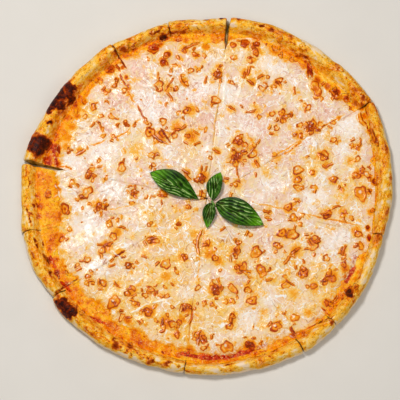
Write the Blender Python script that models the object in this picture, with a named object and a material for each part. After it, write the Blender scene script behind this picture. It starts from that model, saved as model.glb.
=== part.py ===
"""Cheese pizza, cut into eleven slices that still lie in a round, with a sprig of basil in the middle.

Each slice is three closed wedges, one above the other: crust, sauce and cheese. All of them run from
the slice's point to its rim, so every layer shows at the cuts. The rim is uneven: its reach, its foot,
its height and the edge of the cheese are set slice by slice, at the slice's start, middle and end.
Sizes are in millimetres and angles in degrees, anticlockwise from +X seen from above. Plan sizes are
those seen in the photograph, which looks down from a little below the round, so everything is a little
longer along Y than it seems: DEPTH_STRETCH makes up for that when the meshes are made. The finished
meshes are in metres, standing on Z = 0, with the origin under the middle of the whole.
"""
import math
from collections import namedtuple

import bmesh
import bpy
from mathutils import Vector

# ---------------------------------------------------------------- driving dimensions, mm and degrees
MM = 0.001
DEPTH_STRETCH = 1.018     # true length along Y against the length seen from 12 degrees off upright

TOUCH_GAP = 0.3           # air between layers that lie on each other
DOUGH_THICKNESS = 4.0     # flat part of the crust, under the topping
SAUCE_THICKNESS = 0.8
CHEESE_THICKNESS = 3.0
CHEESE_SWELL = 0.45       # slow rise and fall of the cheese's top
CHEESE_EDGE_ROUND = 3.5   # length over which the cheese thins towards its edge

RIM_CREST_SHARE = 0.42    # crest's distance from the outside, as a share of the rim's width
RIM_BELLY_SHARE = 0.36    # height of the widest point, as a share of the crest's height
RIM_UNDERCUT_SHARE = 0.75  # how far the rim curls off the table, as a share of the crest's distance
RIM_SLOPE_EASE = 0.9      # below 1 the inner slope drops sooner behind the crest
REACH_WAVE = 0.5          # waviness of the outline
CREST_WAVE = 0.7          # waviness of the rim's height

CUT_CENTRE = (0.0, -2.8)  # where the cuts cross; they miss the middle of the round a little
CUT_GAP_CENTRE = 0.8      # width of every cut at that point
CUT_REACH = 170.0         # distance from it at which a cut's own width at the rim is given

SAUCE_MARGIN = 0.6        # sauce stops this far inside the foot of the rim
SAUCE_EDGE_SLOPE = 0.8    # length over which the sauce thins to its edge
SAUCE_EDGE_HEIGHT = 0.3   # height of that edge above the sauce's underside
SAUCE_UNDERCUT = 0.4      # how far the underside stops short of it
CHEESE_EDGE_HEIGHT = 0.6
CHEESE_UNDERCUT = 0.8

STATION_STEP = 5.0        # largest angle between two sections of a slice
FEWEST_STATIONS = 3
BELLY_STEPS = 4           # steps of the rim's outline, below its widest point
CREST_STEPS = 6           # from there up to its crest
SLOPE_STEPS = 6           # down the inner slope
CHEESE_EDGE_STEPS = 3
CHEESE_TOP_SHARES = (0.85, 0.7, 0.55, 0.4, 0.25, 0.12)   # points along the cheese's top
ROUND_SEARCH_STEPS = 12   # rounds of the search for the outline

# A slice starts at its cut and runs anticlockwise to the next one. gap is that first cut's width at
# the rim. Every triple gives distances from the middle at the slice's start, middle and end: outer is
# the outline, foot the inner foot of the rim, cheese the cheese's edge. crest is the rim's height.
Slice = namedtuple("Slice", "cut gap outer foot cheese crest")
SLICES = (
    Slice(cut=30.3, gap=1.8, outer=(176.0, 170.5, 167.5), foot=(157.5, 152.5, 150.0),
          cheese=(154.5, 149.0, 146.5), crest=(14.0, 15.0, 15.0)),
    Slice(cut=82.9, gap=3.8, outer=(166.8, 164.0, 165.0), foot=(149.0, 148.0, 149.0),
          cheese=(145.5, 138.5, 145.5), crest=(15.0, 14.0, 15.0)),
    Slice(cut=102.4, gap=1.2, outer=(164.4, 163.0, 165.5), foot=(149.0, 149.0, 150.0),
          cheese=(146.0, 144.5, 146.5), crest=(15.0, 15.0, 15.0)),
    Slice(cut=121.5, gap=1.4, outer=(166.5, 166.0, 172.0), foot=(149.0, 147.0, 150.0),
          cheese=(145.5, 142.5, 138.0), crest=(15.0, 16.5, 16.0)),
    Slice(cut=168.7, gap=3.8, outer=(173.0, 171.0, 173.0), foot=(156.5, 154.5, 153.0),
          cheese=(140.0, 137.0, 136.5), crest=(13.0, 13.0, 14.0)),
    Slice(cut=190.6, gap=1.2, outer=(171.0, 172.5, 169.5), foot=(153.0, 154.5, 154.5),
          cheese=(138.0, 145.5, 143.5), crest=(14.0, 14.0, 14.0)),
    Slice(cut=213.0, gap=2.2, outer=(172.0, 168.0, 164.0), foot=(154.5, 151.0, 150.0),
          cheese=(144.5, 138.0, 141.5), crest=(16.0, 15.0, 15.0)),
    Slice(cut=262.7, gap=1.4, outer=(165.0, 166.0, 169.5), foot=(152.0, 152.5, 152.0),
          cheese=(141.0, 145.5, 148.0), crest=(15.0, 14.0, 15.0)),
    Slice(cut=302.3, gap=2.0, outer=(169.5, 170.0, 169.5), foot=(152.0, 154.5, 155.5),
          cheese=(147.0, 152.0, 153.5), crest=(15.0, 15.0, 15.0)),
    Slice(cut=315.6, gap=1.2, outer=(169.5, 168.5, 167.0), foot=(154.5, 154.5, 155.5),
          cheese=(149.0, 145.5, 153.0), crest=(15.0, 15.0, 15.0)),
    Slice(cut=347.9, gap=1.4, outer=(167.5, 173.0, 177.0), foot=(154.5, 155.0, 165.5),
          cheese=(152.5, 153.0, 164.0), crest=(15.0, 15.0, 14.0)),
)

# Blisters that puff the rim up: angle, extra height, half width in degrees.
RIM_BLISTERS = (
    (146.0, 2.4, 5.5),
    (163.5, 2.2, 4.0),
    (219.0, 1.6, 4.0),
    (104.5, 1.0, 2.5),
    (325.0, 1.4, 3.0),
)

# A basil leaf lies from its base to its tip. left and right are the half widths on either hand, seen
# from the base. arch lifts the middle of the leaf, and tip_rise lifts its tip. fold is how deep the
# middle rib sinks below the edges.
Leaf = namedtuple("Leaf", "name base tip left right arch tip_rise fold")
LEAVES = (
    Leaf("basil_leaf_left", (-7.4, -4.1), (-52.0, 20.0), 8.6, 12.2, 2.2, 1.4, 1.6),
    Leaf("basil_leaf_right", (9.4, -7.9), (52.5, -28.0), 12.4, 11.4, 3.0, 0.8, 1.8),
    Leaf("basil_leaf_top", (6.7, -4.4), (13.2, 19.9), 7.2, 7.4, 2.4, 2.2, 2.4),
    Leaf("basil_leaf_bottom", (3.4, -8.4), (0.6, -31.0), 5.8, 5.4, 1.6, 0.6, 1.6),
)
LEAF_THICKNESS = 0.8
LEAF_CLEARANCE = 0.6      # air under a leaf, above the swell of the cheese
LEAF_END_SHARE = 0.05     # width of a leaf's blunt ends, as a share of its full width
LEAF_BELLY = 0.82         # below 1 the widest place moves towards the leaf's base
LEAF_STATIONS = 10        # steps along a leaf
LEAF_COLUMNS = 6          # steps across it

STEM_RADIUS = 1.0
STEM_START = (4.6, -5.6)
STEM_END = (7.6, -10.4)
STEM_RISE = 0.5           # how far its middle stands above its ends
STEM_SPANS = 3

WELD_DISTANCE = 0.001     # points of a slice that meet at its apex become one
SHARP_ANGLE = 40.0        # edges sharper than this stay hard

CRUST_COLOUR = (0.79, 0.42, 0.11)
SAUCE_COLOUR = (0.52, 0.08, 0.02)
CHEESE_COLOUR = (0.90, 0.76, 0.58)
BASIL_COLOUR = (0.05, 0.16, 0.02)

DOUGH_TOP = DOUGH_THICKNESS
SAUCE_BOTTOM = DOUGH_TOP + TOUCH_GAP
SAUCE_TOP = SAUCE_BOTTOM + SAUCE_THICKNESS
CHEESE_BOTTOM = SAUCE_TOP + TOUCH_GAP
CHEESE_TOP = CHEESE_BOTTOM + CHEESE_THICKNESS
LEAF_BOTTOM = CHEESE_TOP + CHEESE_SWELL + LEAF_CLEARANCE


# ---------------------------------------------------------------- scene and materials
def clear_scene():
    for obj in list(bpy.data.objects):
        bpy.data.objects.remove(obj, do_unlink=True)


def new_collection(name):
    collection = bpy.data.collections.new(name)
    bpy.context.scene.collection.children.link(collection)
    return collection


def new_material(name, colour, roughness):
    material = bpy.data.materials.new(name)
    material.use_nodes = True
    shader = material.node_tree.nodes["Principled BSDF"]
    shader.inputs["Base Color"].default_value = (*colour, 1.0)
    shader.inputs["Roughness"].default_value = roughness
    shader.inputs["Metallic"].default_value = 0.0
    return material


# ---------------------------------------------------------------- how the round varies with the angle
def through_three(values, share):
    """Smooth curve through a start, a middle and an end value, read at a share from 0 to 1."""
    start, middle, end = values
    return (start * (2.0 * share - 1.0) * (share - 1.0)
            + middle * 4.0 * share * (1.0 - share)
            + end * share * (2.0 * share - 1.0))


def reach_wave(angle):
    turn = math.radians(angle)
    return REACH_WAVE * (0.6 * math.sin(11.0 * turn + 0.8) + 0.4 * math.sin(26.0 * turn + 2.1))


def crest_wave(angle):
    turn = math.radians(angle)
    wave = CREST_WAVE * (0.6 * math.sin(9.0 * turn + 1.3) + 0.4 * math.sin(21.0 * turn + 0.4))
    for centre, height, half_width in RIM_BLISTERS:
        wave += height * math.exp(-((angle % 360.0 - centre) / half_width) ** 2)
    return wave


def cheese_swell(x, y):
    """Height of the cheese's slow waves, between -CHEESE_SWELL and +CHEESE_SWELL."""
    waves = (math.sin(x * 0.16 + 0.7) * math.cos(y * 0.13 - 0.4)
             + math.sin(x * 0.09 - y * 0.21 + 2.0))
    return 0.5 * CHEESE_SWELL * waves


# ---------------------------------------------------------------- one slice's plan
def cut_line(angle, gap, side):
    """One edge of a cut as a point and a direction. side is +1 for its left bank and -1 for its right."""
    turn = math.radians(angle)
    along = Vector((math.cos(turn), math.sin(turn)))
    across = Vector((-along.y, along.x)) * side
    near = Vector(CUT_CENTRE) + across * CUT_GAP_CENTRE / 2.0
    far = Vector(CUT_CENTRE) + along * CUT_REACH + across * gap / 2.0
    return near, (far - near).normalized()


def crossing(point_a, way_a, point_b, way_b):
    """Where two lines in the plane cross."""
    between = point_b - point_a
    distance = (between.x * way_b.y - between.y * way_b.x) / (way_a.x * way_b.y - way_a.y * way_b.x)
    return point_a + way_a * distance


def distance_to_round(apex, way, radius_at):
    """Distance from apex along way to the closed line that lies radius_at(angle) from the middle."""
    distance = radius_at(math.degrees(math.atan2(way.y, way.x)))
    for _ in range(ROUND_SEARCH_STEPS):
        point = apex + way * distance
        radius = radius_at(math.degrees(math.atan2(point.y, point.x)))
        distance += radius - point.length
    return distance


def slice_stations(index):
    """Sections of a slice: its apex and, for each, a direction and the distances to each of its edges."""
    piece = SLICES[index]
    following = SLICES[(index + 1) % len(SLICES)]
    end_cut = following.cut if following.cut > piece.cut else following.cut + 360.0
    span = end_cut - piece.cut
    right_point, right_way = cut_line(piece.cut, piece.gap, 1)
    left_point, left_way = cut_line(end_cut, following.gap, -1)
    apex = crossing(right_point, right_way, left_point, left_way)
    first = math.atan2(right_way.y, right_way.x)
    opening = (math.atan2(left_way.y, left_way.x) - first) % math.tau

    def reach(way, values):
        def radius_at(angle):
            share = ((angle - piece.cut + 180.0) % 360.0 - 180.0) / span
            return through_three(values, share) + reach_wave(angle)
        return distance_to_round(apex, way, radius_at)

    stations = []
    count = max(FEWEST_STATIONS, math.ceil(span / STATION_STEP) + 1)
    for number in range(count):
        share = number / (count - 1)
        turn = first + opening * share
        way = Vector((math.cos(turn), math.sin(turn)))
        crest = through_three(piece.crest, share) + crest_wave(math.degrees(turn))
        stations.append((way, reach(way, piece.outer), reach(way, piece.foot), reach(way, piece.cheese),
                         crest))
    return apex, stations


# ---------------------------------------------------------------- cross sections: (distance, height)
def crust_section(outer, foot, crest):
    """Flat dough from the apex, then a rim: rounded outside, with a softer slope down to its foot."""
    crest_in = (outer - foot) * RIM_CREST_SHARE
    curl = crest_in * RIM_UNDERCUT_SHARE
    belly = crest * RIM_BELLY_SHARE
    crest_at = outer - crest_in
    ring = [(0.0, 0.0)]
    for step in range(BELLY_STEPS + 1):
        turn = math.pi / 2.0 * step / BELLY_STEPS
        ring.append((outer - curl + curl * math.sin(turn), belly - belly * math.cos(turn)))
    for step in range(1, CREST_STEPS + 1):
        turn = math.pi / 2.0 * step / CREST_STEPS
        ring.append((crest_at + crest_in * math.cos(turn), belly + (crest - belly) * math.sin(turn)))
    for step in range(1, SLOPE_STEPS + 1):
        share = step / SLOPE_STEPS
        fall = 0.5 + 0.5 * math.cos(math.pi * share ** RIM_SLOPE_EASE)
        ring.append((crest_at - (crest_at - foot) * share, DOUGH_TOP + (crest - DOUGH_TOP) * fall))
    ring.append((0.0, DOUGH_TOP))
    return ring


def sauce_section(foot):
    edge = foot - SAUCE_MARGIN
    return [(0.0, SAUCE_BOTTOM), (edge - SAUCE_UNDERCUT, SAUCE_BOTTOM),
            (edge, SAUCE_BOTTOM + SAUCE_EDGE_HEIGHT), (edge - SAUCE_EDGE_SLOPE, SAUCE_TOP),
            (0.0, SAUCE_TOP)]


def cheese_section(edge, swell_at):
    """Flat underside, a thin rounded edge, and a top that rises and falls along the section."""
    ring = [(0.0, CHEESE_BOTTOM), (edge - CHEESE_UNDERCUT, CHEESE_BOTTOM)]
    rise = CHEESE_THICKNESS - CHEESE_EDGE_HEIGHT
    for step in range(CHEESE_EDGE_STEPS + 1):
        turn = math.pi / 2.0 * step / CHEESE_EDGE_STEPS
        ring.append((edge - CHEESE_EDGE_ROUND + CHEESE_EDGE_ROUND * math.cos(turn),
                     CHEESE_BOTTOM + CHEESE_EDGE_HEIGHT + rise * math.sin(turn)))
    for share in CHEESE_TOP_SHARES:
        ring.append((edge * share, CHEESE_TOP + swell_at(edge * share)))
    ring.append((0.0, CHEESE_TOP))
    return ring


# ---------------------------------------------------------------- meshes
def true_place(x, y, z):
    """A point of the plan as seen, at its true place in metres."""
    return Vector((x, y * DEPTH_STRETCH, z)) * MM


def loft(name, rings, material, collection):
    """Closed mesh through matching rings of points, with both end rings filled."""
    mesh = bmesh.new()
    rows = []
    for ring in rings:
        rows.append([mesh.verts.new(true_place(*point)) for point in ring])
    size = len(rows[0])
    for row, following in zip(rows, rows[1:]):
        for number in range(size):
            beyond = (number + 1) % size
            mesh.faces.new((row[number], row[beyond], following[beyond], following[number]))
    caps = [mesh.faces.new(list(reversed(rows[0]))), mesh.faces.new(rows[-1])]
    bmesh.ops.triangulate(mesh, faces=caps, ngon_method="BEAUTY")
    bmesh.ops.remove_doubles(mesh, verts=mesh.verts, dist=WELD_DISTANCE * MM)
    bmesh.ops.recalc_face_normals(mesh, faces=mesh.faces)
    data = bpy.data.meshes.new(name)
    mesh.to_mesh(data)
    mesh.free()
    data.shade_smooth()
    data.set_sharp_from_angle(angle=math.radians(SHARP_ANGLE))
    data.materials.append(material)
    obj = bpy.data.objects.new(name, data)
    collection.objects.link(obj)
    return obj


def placed(apex, way, section):
    """A section's points, set upright along a direction from the apex."""
    return [(apex.x + way.x * distance, apex.y + way.y * distance, height) for distance, height in section]


def build_slice(index, materials, collection):
    apex, stations = slice_stations(index)
    crust = []
    sauce = []
    cheese = []
    for way, outer, foot, edge, crest in stations:
        def swell_at(distance, way=way):
            return cheese_swell(apex.x + way.x * distance, apex.y + way.y * distance)
        crust.append(placed(apex, way, crust_section(outer, foot, crest)))
        sauce.append(placed(apex, way, sauce_section(foot)))
        cheese.append(placed(apex, way, cheese_section(edge, swell_at)))
    number = f"{index + 1:02d}"
    return [loft(f"crust_{number}", crust, materials["crust"], collection),
            loft(f"sauce_{number}", sauce, materials["sauce"], collection),
            loft(f"cheese_{number}", cheese, materials["cheese"], collection)]


def build_leaf(leaf, material, collection):
    """A pointed oval that arches along its length and folds along its middle rib."""
    base = Vector(leaf.base)
    line = Vector(leaf.tip) - base
    along = line.normalized()
    left = Vector((-along.y, along.x))
    rings = []
    for station in range(LEAF_STATIONS + 1):
        share = station / LEAF_STATIONS
        width = max(math.sin(math.pi * share ** LEAF_BELLY), LEAF_END_SHARE)
        middle = base + line * share
        height = LEAF_BOTTOM + leaf.arch * math.sin(math.pi * share) + leaf.tip_rise * share ** 2
        under = []
        top = []
        for column in range(LEAF_COLUMNS + 1):
            across = 2.0 * column / LEAF_COLUMNS - 1.0
            half = leaf.left if across > 0.0 else leaf.right
            place = middle + left * across * half * width
            rise = leaf.fold * width * (1.0 - (1.0 - abs(across)) ** 2)
            under.append((place.x, place.y, height + rise))
            top.append((place.x, place.y, height + rise + LEAF_THICKNESS))
        rings.append(under + top[::-1])
    return loft(leaf.name, rings, material, collection)


def build_stem(material, collection):
    """The stalk that the three joined leaves grow from, a short round tube with flat ends."""
    curve = bpy.data.curves.new("basil_stem", "CURVE")
    curve.dimensions = "3D"
    curve.bevel_depth = STEM_RADIUS * MM
    curve.bevel_resolution = 2
    curve.use_fill_caps = True
    spline = curve.splines.new("POLY")
    spline.points.add(STEM_SPANS)
    for number, point in enumerate(spline.points):
        share = number / STEM_SPANS
        x = STEM_START[0] + (STEM_END[0] - STEM_START[0]) * share
        y = STEM_START[1] + (STEM_END[1] - STEM_START[1]) * share
        z = LEAF_BOTTOM + STEM_RADIUS + STEM_RISE * math.sin(math.pi * share)
        point.co = (*true_place(x, y, z), 1.0)
    curve.materials.append(material)
    stem = bpy.data.objects.new("basil_stem", curve)
    collection.objects.link(stem)
    return stem


def middle_of(objects):
    """Middle of the objects' common box in X and Y, in metres."""
    points = [vertex.co for obj in objects for vertex in obj.data.vertices]
    xs = [point.x for point in points]
    ys = [point.y for point in points]
    return Vector(((min(xs) + max(xs)) / 2.0, (min(ys) + max(ys)) / 2.0, 0.0))


def main():
    clear_scene()
    collection = new_collection("cheese_pizza")
    materials = {
        "crust": new_material("baked_crust", CRUST_COLOUR, 0.65),
        "sauce": new_material("tomato_sauce", SAUCE_COLOUR, 0.35),
        "cheese": new_material("melted_cheese", CHEESE_COLOUR, 0.40),
    }
    basil = new_material("fresh_basil", BASIL_COLOUR, 0.45)
    slices = []
    for index in range(len(SLICES)):
        slices.extend(build_slice(index, materials, collection))
    centre = middle_of(slices)
    sprig = [build_leaf(leaf, basil, collection) for leaf in LEAVES]
    sprig.append(build_stem(basil, collection))

    # The whole hangs from one empty, which brings the middle of its box over the origin.
    whole = bpy.data.objects.new("whole", None)
    collection.objects.link(whole)
    whole.location = -centre
    for obj in slices + sprig:
        obj.parent = whole


main()
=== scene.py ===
"""Looks of a baked cheese pizza: slices of crust, sauce and browned cheese, with a sprig of basil.

Every slice is three pieces that replace the slice's crust, sauce and cheese in the frame. Each piece
starts as a grid, which is laid out as the slice's wedge and closed underneath. Its relief and its
browning come from maps, seen from above, onto which the blisters, shreds, pools and char spots are
drawn one by one. The maps' places are pixels of the 400 x 400 photograph; all else is in millimetres
until a mesh is made.
"""

import math
from collections import namedtuple
from functools import partial

import bpy
import numpy as np
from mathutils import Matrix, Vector


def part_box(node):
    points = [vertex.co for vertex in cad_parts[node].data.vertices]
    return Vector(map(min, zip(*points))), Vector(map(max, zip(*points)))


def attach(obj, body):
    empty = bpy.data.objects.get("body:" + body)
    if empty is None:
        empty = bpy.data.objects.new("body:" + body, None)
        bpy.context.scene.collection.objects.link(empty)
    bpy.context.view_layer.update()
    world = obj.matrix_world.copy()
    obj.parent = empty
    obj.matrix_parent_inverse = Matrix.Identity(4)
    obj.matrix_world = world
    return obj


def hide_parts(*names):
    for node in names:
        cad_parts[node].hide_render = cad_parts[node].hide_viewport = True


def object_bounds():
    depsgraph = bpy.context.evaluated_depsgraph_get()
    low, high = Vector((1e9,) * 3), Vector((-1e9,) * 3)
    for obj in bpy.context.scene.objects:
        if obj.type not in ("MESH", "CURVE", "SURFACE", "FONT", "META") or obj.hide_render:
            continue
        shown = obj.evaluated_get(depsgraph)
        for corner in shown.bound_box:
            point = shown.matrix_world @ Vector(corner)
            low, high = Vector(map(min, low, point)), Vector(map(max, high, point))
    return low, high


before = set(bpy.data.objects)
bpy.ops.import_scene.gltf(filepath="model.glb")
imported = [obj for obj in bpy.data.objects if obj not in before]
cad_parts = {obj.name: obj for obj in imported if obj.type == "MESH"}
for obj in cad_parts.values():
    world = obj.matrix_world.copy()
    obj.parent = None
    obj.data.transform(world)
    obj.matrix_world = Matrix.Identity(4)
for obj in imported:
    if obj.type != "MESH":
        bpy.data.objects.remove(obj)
cad_low, cad_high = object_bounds()

MM = 0.001
SEED = 11

# ---------------- how the photograph lies on the pizza
MM_PER_PX = 0.92                # one pixel of the photograph on the real thing
PLAN_MIDDLE_PX = (206.5, 195.0)  # pixel over the middle of the plan
IMAGE_MIDDLE_PX = (200.0, 200.0)
DEPTH_STRETCH = 1.018           # true length along Y against the length seen
VIEW_ELEVATION = 78.0           # degrees above the horizon
VIEW_DISTANCE = 8000.0          # far off, because the plan was read without foreshortening
SENSOR = 36.0
CLIP_START = 0.05               # metres
CLIP_END = 20.0
IMAGE_SIDE_PX = 400.0
CHEESE_LEVEL = 8.4              # height at which the plan's pixels are true

# ---------------- the pizza's layers, as in the frame
DOUGH_TOP = 4.0
SAUCE_BOTTOM = 4.3
SAUCE_TOP = 5.1
CHEESE_BOTTOM = 5.4
CHEESE_TOP = 8.4
LEAF_BOTTOM = 9.45
CHEESE_LOWERED = 0.35           # how far the cheese lies below its top before the maps raise it
CHEESE_EDGE_HEIGHT = 0.35
CHEESE_THINNING = 9.0           # how far in from its edge the cheese gets thinner
CHEESE_ROLL = 0.8               # how far its edge rolls under
SAUCE_HIDDEN = 4.0              # how far in under the cheese's edge the sauce's fine rows start
SAUCE_CLIMB = 2.6               # how far the sauce climbs the rim
SAUCE_ROLL = 0.9                # how far in from the rim's foot its edge rolls under
CHEESE_SLIT = 0.012             # half the slit that is left where a piece closes a cut
SAUCE_SLIT = 0.10
DOUGH_SLIT = 0.12

RIM_CREST_SHARE = 0.42          # how far in the crest lies, of the rim's width
RIM_BELLY_SHARE = 0.36          # how high the widest line lies, of the crest's height
RIM_UNDERCUT_SHARE = 0.75       # how far the rim curls in under it, of the crest's way in
RIM_SLOPE_EASE = 0.9
REACH_WAVE = 0.5
CREST_WAVE = 0.7
CUT_CENTRE = (0.0, -2.8)        # where the cuts meet
CUT_GAP_CENTRE = 0.8            # how wide they gape there
CUT_REACH = 170.0               # how far out a slice's gap is measured

MM_PER_DEGREE = 2.6             # round the rim, near enough for its noises
RIM_RADIUS = 165.0

# A slice: its first cut's angle and gap, then how far out the rim, its foot and the cheese reach and how high
# the crest is, each at its first cut, its middle and its last cut.
Slice = namedtuple("Slice", "cut gap outer foot cheese crest")
# For each slice: how deep the cheese sags along its first cut, how far out the cheese still closes it, how
# browned the cheese's edge is, and how far the edge has spread.
CUT_SAGS = (0.9, 0.8, 0.25, 0.12, 0.8, 0.3, 0.5, 0.6, 0.4, 0.12, 0.8)
CUT_CLOSED_TO = (170.0, 136.0, 170.0, 170.0, 130.0, 170.0, 170.0, 170.0, 170.0, 170.0, 170.0)
EDGE_BROWNINGS = (0.55, 0.50, 0.60, 0.90, 1.0, 1.0, 0.80, 0.65, 0.65, 0.30, 0.20)
EDGE_SPREADS = (1.5, 2.5, 2.5, 2.0, 1.0, 1.0, 2.0, 1.5, 3.0, 5.5, 4.0)
WIDE_GAP = 3.0                  # wider gaps stay open in the dough as well
SLICES = tuple(Slice(*row) for row in (
    (30.3, 1.8, (176.0, 170.5, 167.5), (157.5, 152.5, 150.0), (154.5, 149.0, 146.5), (14.0, 15.0, 15.0)),
    (82.9, 3.8, (166.8, 164.0, 165.0), (149.0, 148.0, 149.0), (145.5, 138.5, 145.5), (15.0, 14.0, 15.0)),
    (102.4, 1.2, (164.4, 163.0, 165.5), (149.0, 149.0, 150.0), (146.0, 144.5, 146.5), (15.0, 15.0, 15.0)),
    (121.5, 1.4, (166.5, 166.0, 172.0), (149.0, 147.0, 150.0), (145.5, 142.5, 138.0), (15.0, 16.5, 16.0)),
    (168.7, 3.8, (173.0, 171.0, 173.0), (156.5, 154.5, 153.0), (140.0, 137.0, 136.5), (13.0, 13.0, 14.0)),
    (190.6, 1.2, (171.0, 172.5, 169.5), (153.0, 154.5, 154.5), (138.0, 145.5, 143.5), (14.0, 14.0, 14.0)),
    (213.0, 2.2, (172.0, 168.0, 164.0), (154.5, 151.0, 150.0), (144.5, 138.0, 141.5), (16.0, 15.0, 15.0)),
    (262.7, 1.4, (165.0, 166.0, 169.5), (152.0, 152.5, 152.0), (141.0, 145.5, 148.0), (15.0, 14.0, 15.0)),
    (302.3, 2.0, (169.5, 170.0, 169.5), (152.0, 154.5, 155.5), (147.0, 152.0, 153.5), (15.0, 15.0, 15.0)),
    (315.6, 1.2, (169.5, 168.5, 167.0), (154.5, 154.5, 155.5), (149.0, 145.5, 153.0), (15.0, 15.0, 15.0)),
    (347.9, 1.4, (167.5, 173.0, 177.0), (154.5, 155.0, 165.5), (152.5, 153.0, 164.0), (15.0, 15.0, 14.0)),
))
# Puffs on the rim: direction, height and half width in degrees.
RIM_BLISTERS = ((146.0, 2.4, 5.5), (163.5, 2.2, 4.0), (219.0, 1.6, 4.0), (104.5, 1.0, 2.5), (325.0, 1.4, 3.0))
# A leaf: its ends, half widths, heights of its arch, tip and fold, and how far along it is widest.
Leaf = namedtuple("Leaf", "name base tip left right arch tip_rise fold widest")
LEAVES = (
    Leaf("basil_leaf_left", (-7.0, -4.6), (-52.0, 20.0), 8.8, 12.8, 2.2, 1.4, 1.6, 0.56),
    Leaf("basil_leaf_right", (8.6, -7.7), (52.5, -28.0), 12.4, 11.4, 3.0, 0.8, 1.8, 0.42),
    Leaf("basil_leaf_top", (6.2, -5.4), (13.2, 20.2), 9.6, 4.6, 2.4, 2.2, 2.4, 0.46),
    Leaf("basil_leaf_bottom", (4.0, -7.6), (0.6, -31.0), 5.8, 6.4, 1.6, 0.6, 1.6, 0.40),
)
LEAF_ROWS = 84                  # how finely a leaf is made
LEAF_COLUMNS = 44
LEAF_VEINS = 2.8                # puckers along a leaf
LEAF_THICKNESS = 0.45
LEAF_SMOOTHING = 60.0           # degrees up to which two faces are shaded as one
STEM_START = (4.6, -5.6)
STEM_END = (7.6, -10.4)
STEM_RADIUS = 1.0
STEM_ROUNDING = 0.35
STEM_SMOOTHING = 40.0           # degrees up to which two faces are shaded as one

# ---------------- what is drawn on the cheese
# Places and sizes are pixels of the photograph: x, y and half width.
RING_BLISTERS = (
    (110, 66, 3), (124, 89.5, 2.6), (159, 85.5, 5), (190.5, 70, 3), (106, 178, 2), (87, 192.5, 5.5),
    (164.5, 133.5, 4.5), (163.5, 121, 3.5), (174.5, 135.5, 3), (121.5, 167, 4.5), (153.5, 165, 2.5),
    (249.5, 59, 3), (262, 88, 3), (232, 82, 2.5), (215.5, 99.5, 4.5), (279.6, 79.7, 3.2), (272.5, 113.5, 3),
    (276.5, 128, 3), (316, 87, 6), (308.5, 107, 3), (245, 144.5, 3), (253.5, 154, 4), (300, 125, 3),
    (298, 170, 5), (298, 180, 3.5), (333.5, 139.5, 3), (324.5, 155.5, 5), (358, 159, 3), (367, 174.5, 3),
    (361, 193.5, 6.5), (347, 96.5, 5), (283.3, 120.7, 3), (103, 207, 3), (113.5, 236.5, 4),
    (102.5, 250.5, 3.6), (87.5, 260, 3.5), (103.5, 283, 3.4), (77.5, 265.5, 2.5), (208, 242.5, 3),
    (195, 242.5, 2.5), (166, 264.5, 5), (151, 289.5, 3.2), (198, 287.5, 3), (114, 302, 6), (122, 317, 3.5),
    (145.5, 295.5, 3), (167, 296.5, 2.8), (174.5, 324.5, 4.5), (179.5, 322.5, 3), (238.5, 242.5, 3),
    (243.5, 267, 4), (256, 252.5, 6), (261.5, 271, 5.5), (292.5, 234.5, 5.5), (293, 253.5, 3),
    (303, 268.5, 3), (217, 293.5, 3), (232.5, 289, 4.5), (247.5, 290, 3.5), (314.5, 238, 3),
    (314, 247.5, 4), (326, 258, 3.5), (227, 347, 6), (203.5, 348, 3),
)
BROWN_BLISTERS = (
    (112.5, 67, 2.6), (93.5, 107, 3.4), (114.5, 85, 2.6), (155.5, 45.5, 3.2), (164.5, 62, 3),
    (176, 88, 2.4), (150, 131.5, 5), (187, 110.5, 3.6), (187.5, 135.5, 2.6), (245, 41.5, 4.4),
    (257, 42.5, 3), (233, 43.5, 3), (256, 51.5, 3.2), (334, 90, 5), (364, 96, 2.6), (352, 107, 2.6),
    (244, 152, 3), (282, 112, 3.6), (287, 116, 3), (313, 124.5, 4.6), (311, 130.5, 3), (298, 54.5, 5.5),
    (362.5, 170, 3), (356.5, 175.5, 3.8), (333.5, 179.5, 3.8), (65, 208.5, 4.4), (48, 194, 3.6),
    (188.5, 207, 2.6), (149, 240.5, 3), (178.5, 224, 2.4), (88, 276.5, 2.6), (127.5, 294, 2.8),
    (148, 312.5, 4.4), (82, 313, 2.4), (188, 352, 2.6), (215, 258, 3), (237, 267, 3), (281.5, 233.5, 4.4),
    (277, 245.5, 3.8), (288.5, 207, 4), (303.5, 276, 3), (328, 214.5, 3.8), (358.5, 234.5, 3.6),
    (343.5, 264.5, 2.8), (324.5, 282, 3), (252, 301, 4.8), (232.5, 316.5, 2.8), (229.5, 326.5, 3.6),
    (275.5, 327, 5), (338, 298, 2.6), (303, 272, 4),
)
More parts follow.
